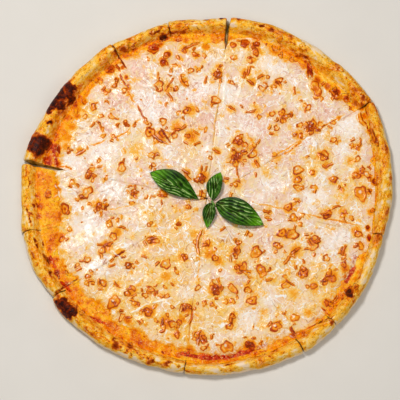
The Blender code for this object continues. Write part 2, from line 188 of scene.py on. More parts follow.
ORANGE_SPOTS = (
    (100, 80, 2.6), (105, 91, 2.6), (167, 53.5, 2.4), (174.5, 64.5, 2.2), (184.5, 49, 2.4),
    (194.5, 53, 2.4), (204.5, 54.5, 2.4), (199, 69, 2.4), (186.5, 83, 2.4), (186, 108, 2.2),
    (197, 109, 2.2), (84.5, 116, 2.6), (100.5, 115.5, 2.6), (102.5, 129, 2.4), (103.5, 135.5, 2.4),
    (111, 116, 3), (113, 135.5, 2.2), (68.5, 151, 2.6), (98.5, 160.5, 2.2), (72, 182, 3), (77, 199.5, 2.2),
    (146, 122, 2.4), (156, 140, 2.6), (178, 112, 2.4), (205.5, 129, 2.2), (151.5, 155, 3.4), (163, 193, 4),
    (203.5, 196.5, 3), (234, 57, 2.8), (275, 46.5, 3), (282, 46.5, 3), (280.5, 54.5, 2.4), (292, 58, 2.6),
    (254, 58, 2.4), (274, 85.5, 2.4), (282, 121, 2.2), (259.5, 116, 2.4), (338, 96.5, 3.4),
    (355.5, 101, 2.6), (305.5, 104.5, 2.4), (322, 98, 2.4), (241.5, 135.5, 2.4), (254, 144.5, 2.6),
    (225.5, 181, 2.2), (235, 184.5, 2.4), (274.5, 154.5, 2.4), (302, 135.5, 2.2), (298, 188, 4),
    (321.5, 123.5, 3), (333.5, 122, 2.4), (336.5, 142, 2.2), (352, 144.5, 2.2), (359, 146.5, 3),
    (314, 187, 3), (302, 188.5, 2.4), (342.5, 190, 2.4), (312.5, 172.5, 2.4), (377, 148, 2),
    (69.5, 229, 2.6), (62, 239, 2.8), (109.5, 224.5, 3.4), (109.5, 244.5, 2.2), (87, 283.5, 2.6),
    (132, 203, 2.2), (117, 220, 2.2), (155.5, 241, 3), (133, 288, 2.6), (134.5, 303.5, 2.6),
    (160.5, 296, 2.4), (141, 312.5, 2.4), (155.5, 306.5, 2.4), (156.5, 321, 2.4), (141.5, 322, 2.6),
    (163.5, 327, 3), (177, 335.5, 3), (204, 303, 2.4), (177, 272, 2.6), (194.5, 339, 2.6),
    (245, 272.5, 2.6), (250.5, 235, 2.4), (296, 200.5, 2.4), (293.5, 218, 4), (303, 215, 2.4),
    (285, 276.5, 2.2), (285.5, 285.5, 4), (269.5, 213, 2.2), (300.5, 224.5, 2.4), (212, 284, 2.4),
    (342.5, 215.5, 2.8), (351.5, 218, 2.4), (308.5, 237.5, 2.6), (360.5, 246.5, 3.4), (343, 257.5, 2.4),
    (329, 272.5, 3), (333.5, 279, 3), (313.5, 286.5, 3), (232.5, 301.5, 2.8), (225.5, 302, 2.8),
    (212, 305, 2.4), (294.5, 318, 4), (326, 303, 2.6),
)
YELLOW_POOLS = (
    (151, 76, 3), (206, 108, 3), (84, 131, 2), (183, 132, 2.4), (137, 157, 4), (169, 166.5, 2.4),
    (140, 131, 3), (262, 52.5, 3), (267, 44, 3), (277, 61, 2.6), (267, 72, 2.4), (242, 83.5, 2.4),
    (294.5, 90, 3.6), (299, 98, 2.4), (290.5, 127, 2.6), (327, 136.5, 2.6), (317, 154.5, 3),
    (327, 148, 2.4), (350, 162, 5), (349.5, 180, 2.5), (338, 196.5, 2.6), (345.5, 197.5, 2.6),
    (316.5, 167, 2.6), (285.5, 190, 2.6), (300.5, 108.5, 2.4), (267, 167, 3), (267.5, 175, 3),
    (224.5, 165.5, 2.6), (243.5, 181.5, 2.4), (82.5, 234.5, 2.2), (94, 233.5, 2), (113, 252.5, 4),
    (97.5, 287, 2.6), (176.5, 209.5, 3), (185, 209.5, 3), (152, 245.5, 3), (188, 218.5, 3),
    (193.5, 233, 2.6), (208, 252, 3), (197.5, 251, 2.4), (176.5, 259, 2.6), (119, 252, 4),
    (164.5, 276.5, 4), (122, 283.5, 2.4), (168, 338, 3), (192.5, 302, 2.6), (62, 253, 5), (277, 203, 2.4),
    (294, 263, 2.6), (321.5, 211, 3), (335.5, 210, 2.6), (342.5, 207.5, 2.6), (327, 230, 3.4),
    (312.5, 265, 2.6), (345.5, 271, 2.4), (246, 305.5, 2.4), (240.5, 311, 2.4), (264, 312, 4),
    (278, 311.5, 2.6), (270.5, 341, 3), (282, 291.5, 2.6), (292, 294, 2.6), (298.5, 293.5, 2.6),
)
CLUSTERS = (
    (92.5, 174.5, 7), (126.5, 122.5, 5), (201, 178, 7), (134, 193.5, 5), (217.5, 73.5, 6), (238.5, 141, 7),
    (236.5, 158, 7.5), (294.5, 134.5, 4), (97, 206.5, 6), (186.5, 257, 5), (131, 266, 6), (187, 308, 5),
    (236, 252.5, 6), (216.5, 289, 6), (203, 339, 5), (250, 345, 5.5), (312, 127, 5),
)
DARK_FLECKS = (
    (187, 98), (162, 142), (207, 151.5), (141, 176), (142.5, 188), (131, 198.5), (211.5, 72.5), (279.5, 93),
    (272, 161), (277, 163.5), (292.5, 148), (82, 222), (97, 270), (172, 206.5), (193.5, 211.5),
    (146, 236.5), (97, 327), (239, 234), (255, 262), (253, 202), (267.5, 259), (276, 317), (214, 334),
    (253, 327), (128, 84), (70.5, 169),
)
# Browned shreds: both ends and the width.
BROWN_SHREDS = (
    (183, 49, 199, 42, 2.4), (190.5, 51, 201.5, 56, 2.2), (176.7, 53.5, 179, 59, 2.2),
    (175.5, 74.7, 165.5, 89.6, 1.6), (165.5, 91, 173, 102, 2.2), (180.4, 73.4, 189, 87, 2.6),
    (206.5, 73.4, 204, 84.6, 2), (94.5, 119.5, 88.5, 127, 2), (94.5, 119.5, 100.5, 129.5, 2),
    (74.7, 154, 86, 147, 2.6), (66, 153, 74, 149, 2.4), (170.5, 129.4, 188, 122, 2.6),
    (183, 140.6, 189, 144, 2.2), (193, 129.4, 200.3, 134.4, 2), (193, 146, 201.6, 142, 2.2),
    (181.7, 168, 189, 173, 2.2), (185.4, 173, 191.6, 180.4, 3), (193, 178, 205, 185, 1.6),
    (144.4, 119.5, 174, 144, 2), (248.5, 64.7, 247, 73.4, 3), (244.5, 71.5, 242.5, 78, 2.6),
    (247, 78.4, 253.5, 83.4, 2.6), (257, 78.4, 264.7, 74.7, 2.2), (227.4, 105.8, 236, 110.7, 2),
    (243.5, 110.7, 256, 108.3, 1.8), (240, 104, 244, 107, 1.6), (254.7, 160.5, 259.7, 168, 2.8),
    (212.4, 146.8, 222.4, 153, 2.4), (322, 164, 327, 167, 2.2), (327, 167, 334, 163, 2.4),
    (359.2, 135.6, 358, 148, 2), (294.5, 84.6, 295.8, 94.6, 2.2), (254.5, 172, 256, 178, 2),
    (237, 165, 240, 180, 1.6), (201, 164, 201.5, 171, 1.6), (207, 165, 205.5, 171, 1.6),
    (318, 153, 331, 161, 1.6), (155.5, 193, 166.7, 195, 2), (160.5, 199, 161, 206, 1.6),
    (175.4, 223.6, 181.7, 222.3, 2.2), (117, 227.3, 127, 231, 2), (104.5, 246, 114.5, 242, 2.4),
    (96, 244.7, 103, 246, 2), (145.6, 240.5, 159.3, 237.5, 2.4), (108.3, 267, 115.7, 263.4, 2.4),
    (114.5, 281, 119.5, 287, 2), (191.6, 310.6, 187.9, 325.6, 2.4), (194, 312, 200, 317, 1.4),
    (205.3, 226, 201.6, 259.7, 2.8), (170, 282, 175, 286, 1.6), (141, 255, 148, 258, 1.8),
    (119, 257.5, 126, 255.5, 1.8), (218.7, 231, 226, 226, 2.2), (237.3, 239.8, 239.8, 246, 2.4),
    (262, 209, 271, 211, 2.2), (282, 264.6, 290, 254, 2.8), (290, 254, 299.5, 248.5, 2.8),
    (303, 250, 309, 249, 2), (302, 258, 304.5, 264.6, 1.8), (265, 280, 272, 278.5, 2.2),
    (284.5, 277, 297, 286, 1.8), (319, 282, 327, 281, 2), (330, 302, 337, 297, 2),
    (233.5, 313, 231, 322, 2.6), (279.5, 309.5, 289.5, 322, 1.2), (259, 345, 262, 339.5, 2.4),
    (266, 327, 271, 320, 2.2), (348, 243.5, 341.8, 257, 2.2), (319, 212, 331, 214.5, 2),
    (331, 210.5, 342, 206.5, 2), (247, 284, 251, 280, 2), (315, 325, 329, 321, 1.6),
    (228.5, 326, 231, 318, 1.6), (307, 79, 309, 62, 2.2), (360.4, 109.5, 368, 125.7, 4),
)
# Broad soft areas: x, y, half width and strength.
WHITE_AREAS = (
    (150, 110, 24, 0.9), (200, 92, 20, 0.9), (100, 150, 18, 0.9), (75, 160, 12, 1.0), (60, 195, 9, 0.9),
    (110, 188, 12, 1.0), (92, 225, 15, 1.0), (85, 205, 10, 1.0), (90, 272, 15, 1.0), (155, 343, 8, 0.9),
    (146, 338, 7, 0.7), (270, 65, 18, 0.8), (225, 92, 18, 0.9), (250, 122, 14, 0.8), (310, 145, 9, 0.8),
    (348, 126, 14, 0.9), (340, 146, 8, 0.8), (315, 196, 14, 0.9), (342, 236, 10, 0.9), (332, 242, 8, 0.8),
    (360, 260, 7, 0.9), (320, 261, 7, 0.7), (235, 330, 12, 0.7), (248, 322, 12, 0.7), (268, 300, 9, 0.6),
    (268, 247, 8, 0.6), (285, 225, 7, 0.6), (186, 296, 7, 0.8), (305, 300, 8, 0.4), (262, 290, 10, 0.5),
    (215, 55, 8, 0.7), (242, 52, 5, 0.8), (84, 134, 7, 0.9), (80, 125, 6, 0.8), (62, 245, 5, 1.0),
    (165, 152, 8, 0.9), (130, 160, 8, 0.8), (155, 80, 8, 0.9), (140, 95, 8, 0.8), (186, 57, 5, 0.8),
    (270, 185, 12, 0.7), (160, 230, 8, 0.6), (260, 200, 8, 0.7), (205, 150, 6, 0.8), (75, 225, 9, 0.8),
    (225, 130, 12, 0.6), (300, 100, 6, 0.6), (330, 170, 8, 0.6), (320, 250, 6, 0.6), (240, 312, 5, 0.5),
    (200, 270, 6, 0.6),
)
WARM_AREAS = (
    (170, 235, 34, 0.6), (165, 270, 34, 0.65), (120, 325, 26, 0.6), (150, 325, 24, 0.55),
    (95, 290, 18, 0.5), (215, 250, 16, 0.8), (215, 300, 20, 0.55), (245, 335, 20, 0.3), (325, 275, 20, 0.5),
    (280, 270, 25, 0.35), (350, 190, 22, 0.35), (255, 60, 18, 0.3), (66, 125, 14, 0.9), (52, 220, 18, 1.0),
    (62, 262, 13, 1.0), (85, 305, 14, 1.0), (110, 330, 12, 0.9), (340, 285, 12, 0.7), (310, 305, 16, 0.5),
    (185, 47, 14, 0.5), (135, 150, 12, 0.45), (235, 255, 14, 0.5), (180, 310, 20, 0.6), (180, 330, 18, 0.6),
    (205, 240, 12, 0.7), (125, 255, 12, 0.4), (130, 295, 16, 0.5), (290, 300, 14, 0.5), (350, 215, 14, 0.4),
    (190, 130, 12, 0.35), (240, 150, 12, 0.4), (320, 155, 14, 0.35), (45, 190, 14, 1.0),
    (190, 318, 20, 1.0), (122, 320, 20, 1.0), (325, 288, 18, 0.9), (222, 252, 16, 0.8), (220, 318, 16, 0.8),
    (256, 285, 14, 0.6), (152, 216, 14, 0.6), (222, 46, 14, 0.8), (84, 110, 14, 0.9), (190, 150, 14, 0.5),
    (120, 80, 14, 0.5), (120, 284, 14, 0.7),
)
BLUSH_AREAS = (
    (160, 100, 30, 0.5), (118, 98, 20, 1.0), (95, 175, 22, 0.5), (150, 175, 26, 0.5), (185, 60, 18, 0.7),
    (262, 130, 26, 0.6), (240, 165, 18, 0.6), (325, 108, 16, 0.7), (300, 62, 12, 0.8), (280, 205, 22, 0.5),
    (270, 240, 18, 0.6), (340, 220, 12, 0.4), (105, 215, 14, 0.7), (150, 250, 10, 0.5), (240, 280, 12, 0.7),
    (300, 135, 18, 0.8), (140, 70, 14, 0.9), (104, 130, 12, 0.9), (275, 155, 14, 0.9), (215, 125, 8, 0.8),
    (215, 275, 6, 0.9), (195, 318, 6, 0.7), (225, 70, 10, 0.7), (262, 80, 8, 0.7), (167, 103, 6, 0.8),
    (168, 165, 8, 0.6), (97, 184, 4, 1.0), (100, 214, 4, 1.0), (350, 112, 8, 0.7), (180, 205, 12, 0.6),
    (362, 246, 5, 0.7), (190, 112, 34, 0.7), (258, 112, 24, 0.7), (290, 150, 20, 0.6),
)
# Soft browned areas of cheese, oil and dough alike.
BROWNED_AREAS = (
    (66, 117, 7, 0.5), (72, 126, 6, 0.42), (68, 137, 7, 0.4), (66, 146, 6, 0.4), (77, 115, 5, 0.5),
    (80, 151, 6, 0.42), (128, 88, 4, 0.45), (105, 90, 4, 0.4), (168, 87, 7, 0.34), (184, 48, 6, 0.42),
    (196, 54, 5, 0.42), (206, 45, 6, 0.45), (185, 80, 5, 0.4), (191, 109, 9, 0.36), (177, 126, 8, 0.4),
    (191, 136, 9, 0.42), (160, 136, 9, 0.44), (156, 153, 7, 0.3), (136, 150, 9, 0.26), (134, 195, 5, 0.4),
    (162, 194, 6, 0.42), (187, 172, 5, 0.4), (203, 176, 8, 0.46), (98, 205, 7, 0.42), (117, 232, 7, 0.4),
    (107, 246, 8, 0.44), (120, 252, 6, 0.36), (145, 253, 6, 0.3), (152, 241, 7, 0.44), (194, 234, 6, 0.34),
    (182, 258, 8, 0.38), (166, 276, 8, 0.36), (174, 283, 7, 0.28), (103, 284, 7, 0.36), (118, 285, 6, 0.34),
    (132, 291, 8, 0.38), (151, 291, 6, 0.34), (166, 296, 6, 0.34), (98, 304, 7, 0.42), (114, 303, 8, 0.44),
    (136, 304, 6, 0.34), (149, 312, 9, 0.48), (166, 322, 10, 0.44), (182, 320, 7, 0.42),
    (187, 309, 7, 0.46), (177, 335, 7, 0.42), (201, 338, 8, 0.48), (190, 350, 7, 0.5), (219, 66, 6, 0.38),
    (217, 73, 7, 0.46), (246, 72, 7, 0.42), (252, 81, 6, 0.42), (277, 82, 6, 0.42), (264, 77, 6, 0.3),
    (275, 48, 8, 0.46), (257, 49, 6, 0.44), (316, 88, 7, 0.46), (310, 70, 5, 0.62), (318, 79, 6, 0.55),
    (328, 85, 5, 0.55), (284, 115, 6, 0.42), (256, 110, 8, 0.3), (231, 108, 6, 0.32), (312, 127, 8, 0.48),
    (299, 135, 7, 0.4), (238, 141, 8, 0.46), (236, 157, 9, 0.48), (252, 148, 7, 0.34), (256, 163, 6, 0.38),
    (217, 151, 5, 0.34), (277, 157, 7, 0.3), (298, 178, 8, 0.4), (321, 155, 7, 0.44), (327, 165, 6, 0.38),
    (351, 161, 7, 0.34), (356, 146, 5, 0.38), (360, 173, 8, 0.44), (333, 180, 6, 0.4), (341, 190, 5, 0.34),
    (361, 193, 9, 0.42), (313, 172, 6, 0.36), (266, 171, 6, 0.26), (238, 184, 8, 0.32), (208, 245, 7, 0.4),
    (209, 254, 8, 0.42), (219, 261, 7, 0.38), (235, 251, 7, 0.42), (240, 268, 9, 0.44), (256, 254, 6, 0.4),
    (262, 271, 7, 0.42), (272, 279, 7, 0.28), (215, 290, 9, 0.5), (233, 289, 6, 0.36), (247, 287, 6, 0.36),
    (250, 301, 7, 0.4), (230, 301, 6, 0.34), (212, 304, 5, 0.38), (232, 321, 6, 0.36), (264, 312, 6, 0.32),
    (263, 325, 7, 0.28), (277, 325, 7, 0.42), (295, 317, 6, 0.36), (308, 313, 6, 0.36), (228, 347, 6, 0.46),
    (250, 346, 9, 0.55), (285, 283, 7, 0.34), (294, 293, 7, 0.32), (287, 234, 8, 0.44), (278, 246, 5, 0.38),
    (296, 251, 9, 0.38), (312, 242, 7, 0.42), (343, 251, 6, 0.34), (304, 273, 7, 0.46), (288, 209, 6, 0.42),
    (293, 218, 5, 0.38), (268, 211, 6, 0.3), (327, 213, 7, 0.42), (343, 212, 7, 0.36), (356, 231, 7, 0.42),
    (314, 286, 6, 0.42), (331, 277, 9, 0.46), (345, 268, 6, 0.46), (327, 303, 7, 0.48), (338, 298, 6, 0.46),
    (370, 212, 5, 0.4), (361, 246, 5, 0.34), (105, 58, 6, 0.52), (109, 67, 8, 0.58), (114, 53, 5, 0.58),
    (123, 48, 6, 0.66), (134, 48, 6, 0.56), (153, 46, 7, 0.62), (163, 60, 5, 0.6), (168, 53, 5, 0.48),
    (152, 33, 4, 0.6), (160, 42, 5, 0.52), (170, 28, 5, 0.46), (184, 29, 5, 0.64), (186, 38, 5, 0.5),
    (80, 86, 6, 0.5), (95, 76, 8, 0.44), (78, 96, 5, 0.54), (75, 103, 5, 0.62), (61, 112, 7, 0.58),
    (57, 122, 8, 0.44), (55, 135, 6, 0.6), (55, 148, 7, 0.7), (47, 160, 7, 0.74), (57, 163, 5, 0.68),
    (34, 163, 6, 0.68), (38, 176, 5, 0.52), (38, 195, 5, 0.55), (40, 206, 6, 0.6), (38, 216, 6, 0.58),
    (48, 193, 6, 0.58), (50, 180, 7, 0.42), (50, 206, 8, 0.42), (56, 220, 8, 0.4), (30, 214, 4, 0.62),
    (52, 236, 6, 0.48), (61, 236, 6, 0.5), (35, 249, 7, 0.48), (50, 250, 5, 0.58), (49, 260, 5, 0.76),
    (56, 260, 6, 0.54), (57, 273, 5, 0.7), (64, 272, 6, 0.5), (67, 284, 6, 0.62), (76, 290, 6, 0.48),
    (80, 302, 6, 0.52), (58, 296, 5, 0.6), (85, 312, 8, 0.46), (97, 319, 6, 0.58), (106, 313, 7, 0.46),
    (92, 328, 7, 0.42), (128, 320, 6, 0.5), (134, 332, 6, 0.52), (140, 342, 6, 0.62), (130, 347, 7, 0.55),
    (116, 346, 6, 0.74), (150, 360, 6, 0.56), (166, 364, 5, 0.62), (165, 353, 6, 0.5), (178, 355, 6, 0.56),
    (292, 336, 5, 0.6), (303, 333, 5, 0.56), (300, 345, 7, 0.46), (285, 342, 6, 0.5), (331, 322, 4, 0.66),
    (347, 293, 5, 0.76), (356, 288, 5, 0.6), (375, 181, 5, 0.62), (376, 140, 5, 0.66), (371, 130, 5, 0.56),
    (365, 115, 5, 0.52), (362, 105, 5, 0.62), (363, 98, 5, 0.66), (356, 103, 5, 0.62), (347, 97, 5, 0.7),
    (337, 91, 6, 0.64), (338, 68, 4, 0.54), (298, 54, 6, 0.64), (245, 42, 6, 0.6), (257, 43, 5, 0.58),
    (281, 38, 5, 0.5), (233, 44, 5, 0.44), (368, 228, 4, 0.6), (369, 238, 4, 0.66), (122, 66, 3, 0.6),
    (126, 76, 3, 0.6),
)
RED_SAUCE = (
    (55, 148, 8, 0.35), (50, 160, 8, 0.4), (57, 130, 7, 0.25), (352, 269, 6, 0.4), (347, 279, 6, 0.35),
    (97, 320, 6, 0.35), (195, 356, 8, 0.35), (214, 358, 9, 0.4), (240, 354, 8, 0.3), (67, 284, 6, 0.3),
    (155, 46, 6, 0.35), (39, 205, 8, 0.2), (300, 135, 6, 0.25), (163, 62, 5, 0.3), (108, 66, 6, 0.3),
)

# ---------------- what is drawn on the rim
RIM_CHAR = (
    (68, 86, 4.5), (62, 91, 5.5), (57, 97, 5.5), (53, 103, 5), (50, 109, 4), (70, 92, 4.5), (70, 100, 4),
    (61, 104, 4.5), (74, 88, 3), (41, 139, 6), (36, 146, 6.5), (45, 146, 6), (38, 152, 5), (47, 141, 4),
    (33, 150, 4), (62, 304, 4.5), (68, 308, 5.5), (72, 311, 4.5), (66, 313, 4.5), (75, 312, 3),
    (58, 302, 3), (71, 316, 3), (50.5, 122.5, 2.2), (164.5, 35, 4), (349, 292, 4.5),
)
CHAR_AREAS = (
    (69, 88, 7, 0.84), (62, 95, 8, 0.9), (55, 103, 7, 0.86), (41, 141, 9, 0.9), (39, 149, 9, 0.9),
    (64, 306, 7, 0.84), (71, 312, 6, 0.82),
)
RIM_BROWN = (
    (124, 47, 4), (134, 44, 3.5), (152, 31, 3), (158, 27, 2.5), (185.5, 28, 4), (188, 22, 2.5),
    (340, 67, 3.5), (346.5, 77, 2), (303, 45, 3), (280, 37, 3.5), (364, 96, 3.5), (376.5, 181, 3.5),
    (376, 142, 4), (373, 210, 2.5), (368, 227, 2), (369, 237, 2.5), (355, 287, 3), (357, 294, 2.5),
    (110, 66, 3.6), (139, 343, 5),
)
RIM_DASHES = (
    (27, 208, 29, 213, 1.6), (29, 214, 31, 225, 1.8), (32, 204, 34, 209, 1.4), (34, 238, 35, 243, 2),
    (36, 243, 38, 249, 2), (42, 241, 43.5, 247, 2), (44, 252, 47, 259, 2.4), (47, 259, 50, 266, 2.2),
    (49.5, 271, 51.5, 274, 2), (56, 275, 60, 280, 2.2), (25, 172, 28, 192, 1), (203, 18, 211, 17.5, 1.4),
    (219, 17, 226, 15.8, 1.6), (236, 16.5, 243, 16.2, 1.4), (258, 24, 266, 24.6, 2),
    (270, 27, 274, 28, 1.8), (152, 33, 160, 27, 2), (371, 127, 376, 141, 1.6), (300, 331, 340, 312, 1.2),
)
RIM_PITS = (
    (115.5, 347, 1.6), (121, 347, 1.6), (130.5, 345.5, 2.2), (122, 338.5, 1.6), (131, 355.5, 1.8),
    (148.5, 358.5, 1.6), (153, 361, 1.8), (169.5, 362, 2), (114, 341, 2), (127, 350, 1.6),
)
RIM_PALE = (
    (85, 70, 9, 0.5), (78, 76, 8, 0.5), (92, 64, 8, 0.5), (247, 23, 8, 0.6), (212, 33, 8, 0.7),
    (320, 49, 12, 0.8), (308, 42, 8, 0.7), (332, 58, 8, 0.8), (368, 262, 12, 0.8), (362, 275, 8, 0.8),
    (372, 250, 8, 0.8), (215, 367, 14, 1.0), (245, 367, 14, 0.8), (275, 362, 12, 0.6), (198, 366, 8, 1.0),
    (107, 338, 6, 0.8), (195, 23, 7, 0.8), (236, 26, 6, 0.6), (293, 45, 6, 0.5), (370, 268, 8, 0.9),
    (310, 346, 8, 0.5), (330, 328, 6, 0.5), (374, 205, 6, 0.8), (372, 222, 6, 0.8), (368, 238, 6, 0.8),
    (377, 186, 6, 0.6), (380, 168, 5, 0.5), (372, 118, 8, 0.6), (360, 97, 7, 0.5), (379, 148, 9, 0.7),
    (366, 108, 7, 0.5), (318, 62, 7, 0.5), (258, 34, 7, 0.4), (212, 359, 8, 1.0), (228, 360, 8, 1.0),
    (243, 358, 7, 0.9), (360, 263, 8, 1.0), (367, 243, 6, 0.9), (336, 302, 7, 0.7), (100, 325, 6, 0.6),
)
RIM_GOLD = (
    (165, 29, 7, 0.4), (142, 37, 7, 0.4), (120, 46, 7, 0.38), (101, 60, 9, 0.44), (28, 182, 8, 0.38),
    (27, 205, 8, 0.4), (40, 255, 8, 0.38), (165, 359, 8, 0.42), (188, 363, 8, 0.34), (323, 324, 8, 0.4),
    (304, 49, 8, 0.38), (212, 23, 8, 0.36), (282, 350, 7, 0.36), (378, 243, 6, 0.4), (384, 219, 6, 0.42),
    (387, 195, 7, 0.42), (50, 120, 7, 0.4), (34, 160, 6, 0.42), (345, 306, 7, 0.34),
)

# Turned places on and near the rim: degrees anticlockwise from the right, px from the middle, half width.
RIM_DARK_SPOTS = (
    (35, 173, 2.4), (39.5, 167, 2.6), (37, 164, 2.6), (57, 169, 2.4), (99, 168, 3.4), (105.5, 165, 3.6),
    (105.5, 175, 2), (108.5, 173, 2), (108, 140, 3), (110, 157, 5), (116.5, 168, 3), (119.5, 169, 4),
    (127.5, 161, 4.5), (155.5, 172, 1.6), (179.5, 159, 4.2), (185.5, 142, 5), (187, 172, 1.3),
    (184, 168, 1.3), (179, 168, 1.3), (177, 172, 1.3), (188, 178, 1.2), (40, 183.5, 1.3),
)
RIM_SOFT_SPOTS = (
    (65, 174, 3), (106, 146, 3), (126, 174, 6), (72, 170, 3), (53, 176, 3), (92, 170, 3),
)
# The same with two ends and a width.
RIM_STREAKS = (
    (73, 179, 70.5, 179.5, 1.2), (69.5, 180.5, 68, 180.8, 1.2), (80.5, 181, 79, 181, 1.2),
    (90.5, 176.5, 89, 176.5, 1.2), (44, 184, 46, 184, 1.6), (32, 173, 32, 187, 3), (54, 170, 48, 158, 2.4),
    (190.6, 178, 189, 178.5, 1.4), (186, 180, 184.5, 180, 1.2), (183.9, 174.5, 182.6, 174.8, 1.2),
    (181.5, 180, 180.2, 180, 1.2), (174.6, 182.5, 173.2, 182.5, 1.2), (168, 158, 161, 158, 2.6),
    (98, 174, 94, 173, 1.4), (86, 172, 84, 170, 1.2), (62, 177, 59, 178, 1.2), (146, 176, 141, 170, 1.6),
    (232, 176, 238, 175, 1.4), (242, 170, 248, 171, 1.4), (275, 172, 280, 171, 1.2),
    (285, 168, 292, 169, 1.2), (318, 174, 324, 173, 1.4), (330, 172, 335, 171, 1.4), (8, 180, 12, 180, 1.2),
    (20, 176, 24, 178, 1.4),
)
# Browned lines along the cuts: the cut's angle, from, to, px aside anticlockwise, width and browning.
CUT_LINES = (
    (30.3, 70, 128, 0.0, 0.9, 0.46), (30.3, 118, 165, 0.6, 1.2, 0.6), (82.9, 40, 150, 0.6, 0.8, 0.3),
    (102.4, 160, 180, 0.0, 1.2, 0.8), (121.5, 61, 84, 3.6, 1.6, 0.62), (121.5, 148, 180, 2.0, 1.6, 0.8),
    (168.7, 136, 160, 0.0, 1.4, 0.56), (190.6, 60, 110, -3.5, 0.8, 0.28), (213.0, 98, 112, 2.0, 1.6, 0.62),
    (213.0, 155, 183, 0.0, 1.8, 0.85), (262.7, 30, 62, 2.5, 1.6, 0.44), (262.7, 58, 100, 1.6, 0.9, 0.36),
    (262.7, 96, 165, 0.4, 1.0, 0.44), (302.3, 155, 168, 0.0, 2.6, 0.6), (315.6, 158, 176, 0.0, 1.4, 0.74),
    (347.9, 45, 100, 2.5, 0.9, 0.42), (347.9, 92, 165, 2.3, 1.1, 0.54), (190.6, 150, 172, 0.0, 1.2, 0.56),
)
CREASES = (
    (141, 119, 132, 126, 1.4), (132, 126, 108, 138, 1.2), (108, 138, 88, 145, 1.2), (88, 145, 88, 150, 1.2),
    (283, 154, 293, 148, 1.4), (293, 148, 303, 140, 1.4), (380, 157, 371, 163, 1.4),
    (371, 163, 369, 168, 1.4), (114, 56, 121, 72, 2.0), (120, 70, 128, 86, 1.8), (127, 84, 138, 104, 1.5),
    (137, 102, 148, 121, 1.6),
)
# Ridges of cheese with a painted highlight along them: both ends and the width.
HIGHLIGHT_RIDGES = (
    (268, 274, 280, 267, 1.6), (130, 313, 150, 303, 1.8), (150, 303, 175, 298, 1.6),
    (218, 120, 220, 135, 1.6), (60, 170, 52, 180, 2.2), (52, 180, 58, 190, 2.2), (58, 190, 60, 200, 1.8),
    (55, 240, 53, 248, 2), (53, 248, 58, 256, 2), (226, 72, 223, 108, 1.6), (112, 250, 124, 262, 1.8),
    (140, 202, 152, 212, 1.6), (243, 78, 238, 96, 1.4),
)
# Streaks of bare tomato sauce between cheese and rim.
RED_STREAKS = (
    (181, 353, 203, 358, 4.0), (200, 357, 228, 357, 5.6), (226, 357, 250, 351, 4.6),
    (248, 351, 266, 345, 3.2), (346, 281, 353, 268, 5.0), (352, 268, 355, 256, 3.0),
    (88, 316, 106, 324, 2.6), (61, 282, 71, 291, 3.0), (50, 256, 56, 268, 2.4), (120, 60, 129, 84, 2.0),
    (150, 45, 160, 48, 2.6), (308, 62, 312, 78, 2.6), (50, 140, 58, 168, 3.0), (44, 158, 50, 164, 3.0),
    (366, 236, 371, 238, 2.4), (162, 60, 168, 64, 2.0),
)

# ---------------- how finely the pieces are made, mm
CHEESE_STEP = 0.62              # between rows
CHEESE_COLUMN = 0.80            # between columns at the rim
CRUST_COLUMN = 0.95
SAUCE_COLUMN = 0.95
SAUCE_ROWS = 26
FLAT_ROWS = 8                   # of the crust: its flat part, the rim's slope, shoulder and underside
SLOPE_ROWS = 18
SHOULDER_ROWS = 16
UNDER_ROWS = 10
SIDE_REACH = 8.0                # how far from a cut the cut's wandering is felt
BASIL_REACH = 62.0              # how far from the middle the cheese stays below the leaves
CELLS_PER_PX = 2.5              # the maps' fineness
MAP_SIDE = int(IMAGE_SIDE_PX * CELLS_PER_PX)
NOISE_CELLS = 64                # after which a noise repeats
SAME_PLACE = 4e-7               # in metres: points nearer than this are merged
WEDGE_SMOOTHING = 65.0          # degrees up to which two faces are shaded as one

rng = np.random.default_rng(SEED)


# ---------------- noise and maps
def smoothstep(low, high, value):
    """0 up to low, 1 from high on, and a smooth rise between them."""
    share = np.clip((value - low) / (high - low), 0.0, 1.0)
    return share * share * (3.0 - 2.0 * share)


def between(first, second, third, fourth, u, v):
    """A value between four cells, by the share u from left to right and v from row to row."""
    return (first * (1 - u) + second * u) * (1 - v) + (third * (1 - u) + fourth * u) * v


def lattice_noise(x, y, scale, seed):
    """Smooth noise from 0 to 1 whose features are about scale across."""
    table = np.random.default_rng(seed).random((NOISE_CELLS, NOISE_CELLS))
    u = np.asarray(x) / scale
    v = np.asarray(y) / scale
    column = np.floor(u).astype(int)
    row = np.floor(v).astype(int)
    u = smoothstep(0.0, 1.0, u - column)
    v = smoothstep(0.0, 1.0, v - row)
    left = column % NOISE_CELLS
    right = (column + 1) % NOISE_CELLS
    low = row % NOISE_CELLS
    high = (row + 1) % NOISE_CELLS
    return between(table[low, left], table[low, right], table[high, left], table[high, right], u, v)


def layered_noise(x, y, scale, seed, layers=3):
    """Noise from about -1 to 1 in layers, each half as wide and turned against the last."""
    total = 0.0
    weight = 1.0
    weights = 0.0
    for layer in range(layers):
        total = total + weight * (2.0 * lattice_noise(x, y, scale, seed + layer) - 1.0)
        weights += weight
        weight *= 0.55
        scale *= 0.5
        x, y = 0.8 * x - 0.6 * y + 17.0, 0.6 * x + 0.8 * y + 5.0
    return total / weights


maps = {name: np.zeros((MAP_SIDE, MAP_SIDE)) for name in
        ("cheese", "spots", "bake", "white", "warm", "blush", "red", "pale", "shape", "under_shape", "gleam",
         "strand")}
maps["lie"] = np.full((MAP_SIDE, MAP_SIDE), 0.5)


def map_places():
    """The photograph's pixel at each of the maps' cells."""
    column, row = np.meshgrid(np.arange(MAP_SIDE), np.arange(MAP_SIDE))
    return (column + 0.5) / CELLS_PER_PX, (row + 0.5) / CELLS_PER_PX


def make_warps():
    """How far each cell's drawing is pushed about, so that no outline stays even."""
    x, y = map_places()
    return [0.85 * layered_noise(x, y, 5.0, seed, 2) + 0.35 * layered_noise(x, y, 1.9, seed + 5, 1)
            for seed in (400, 420)]


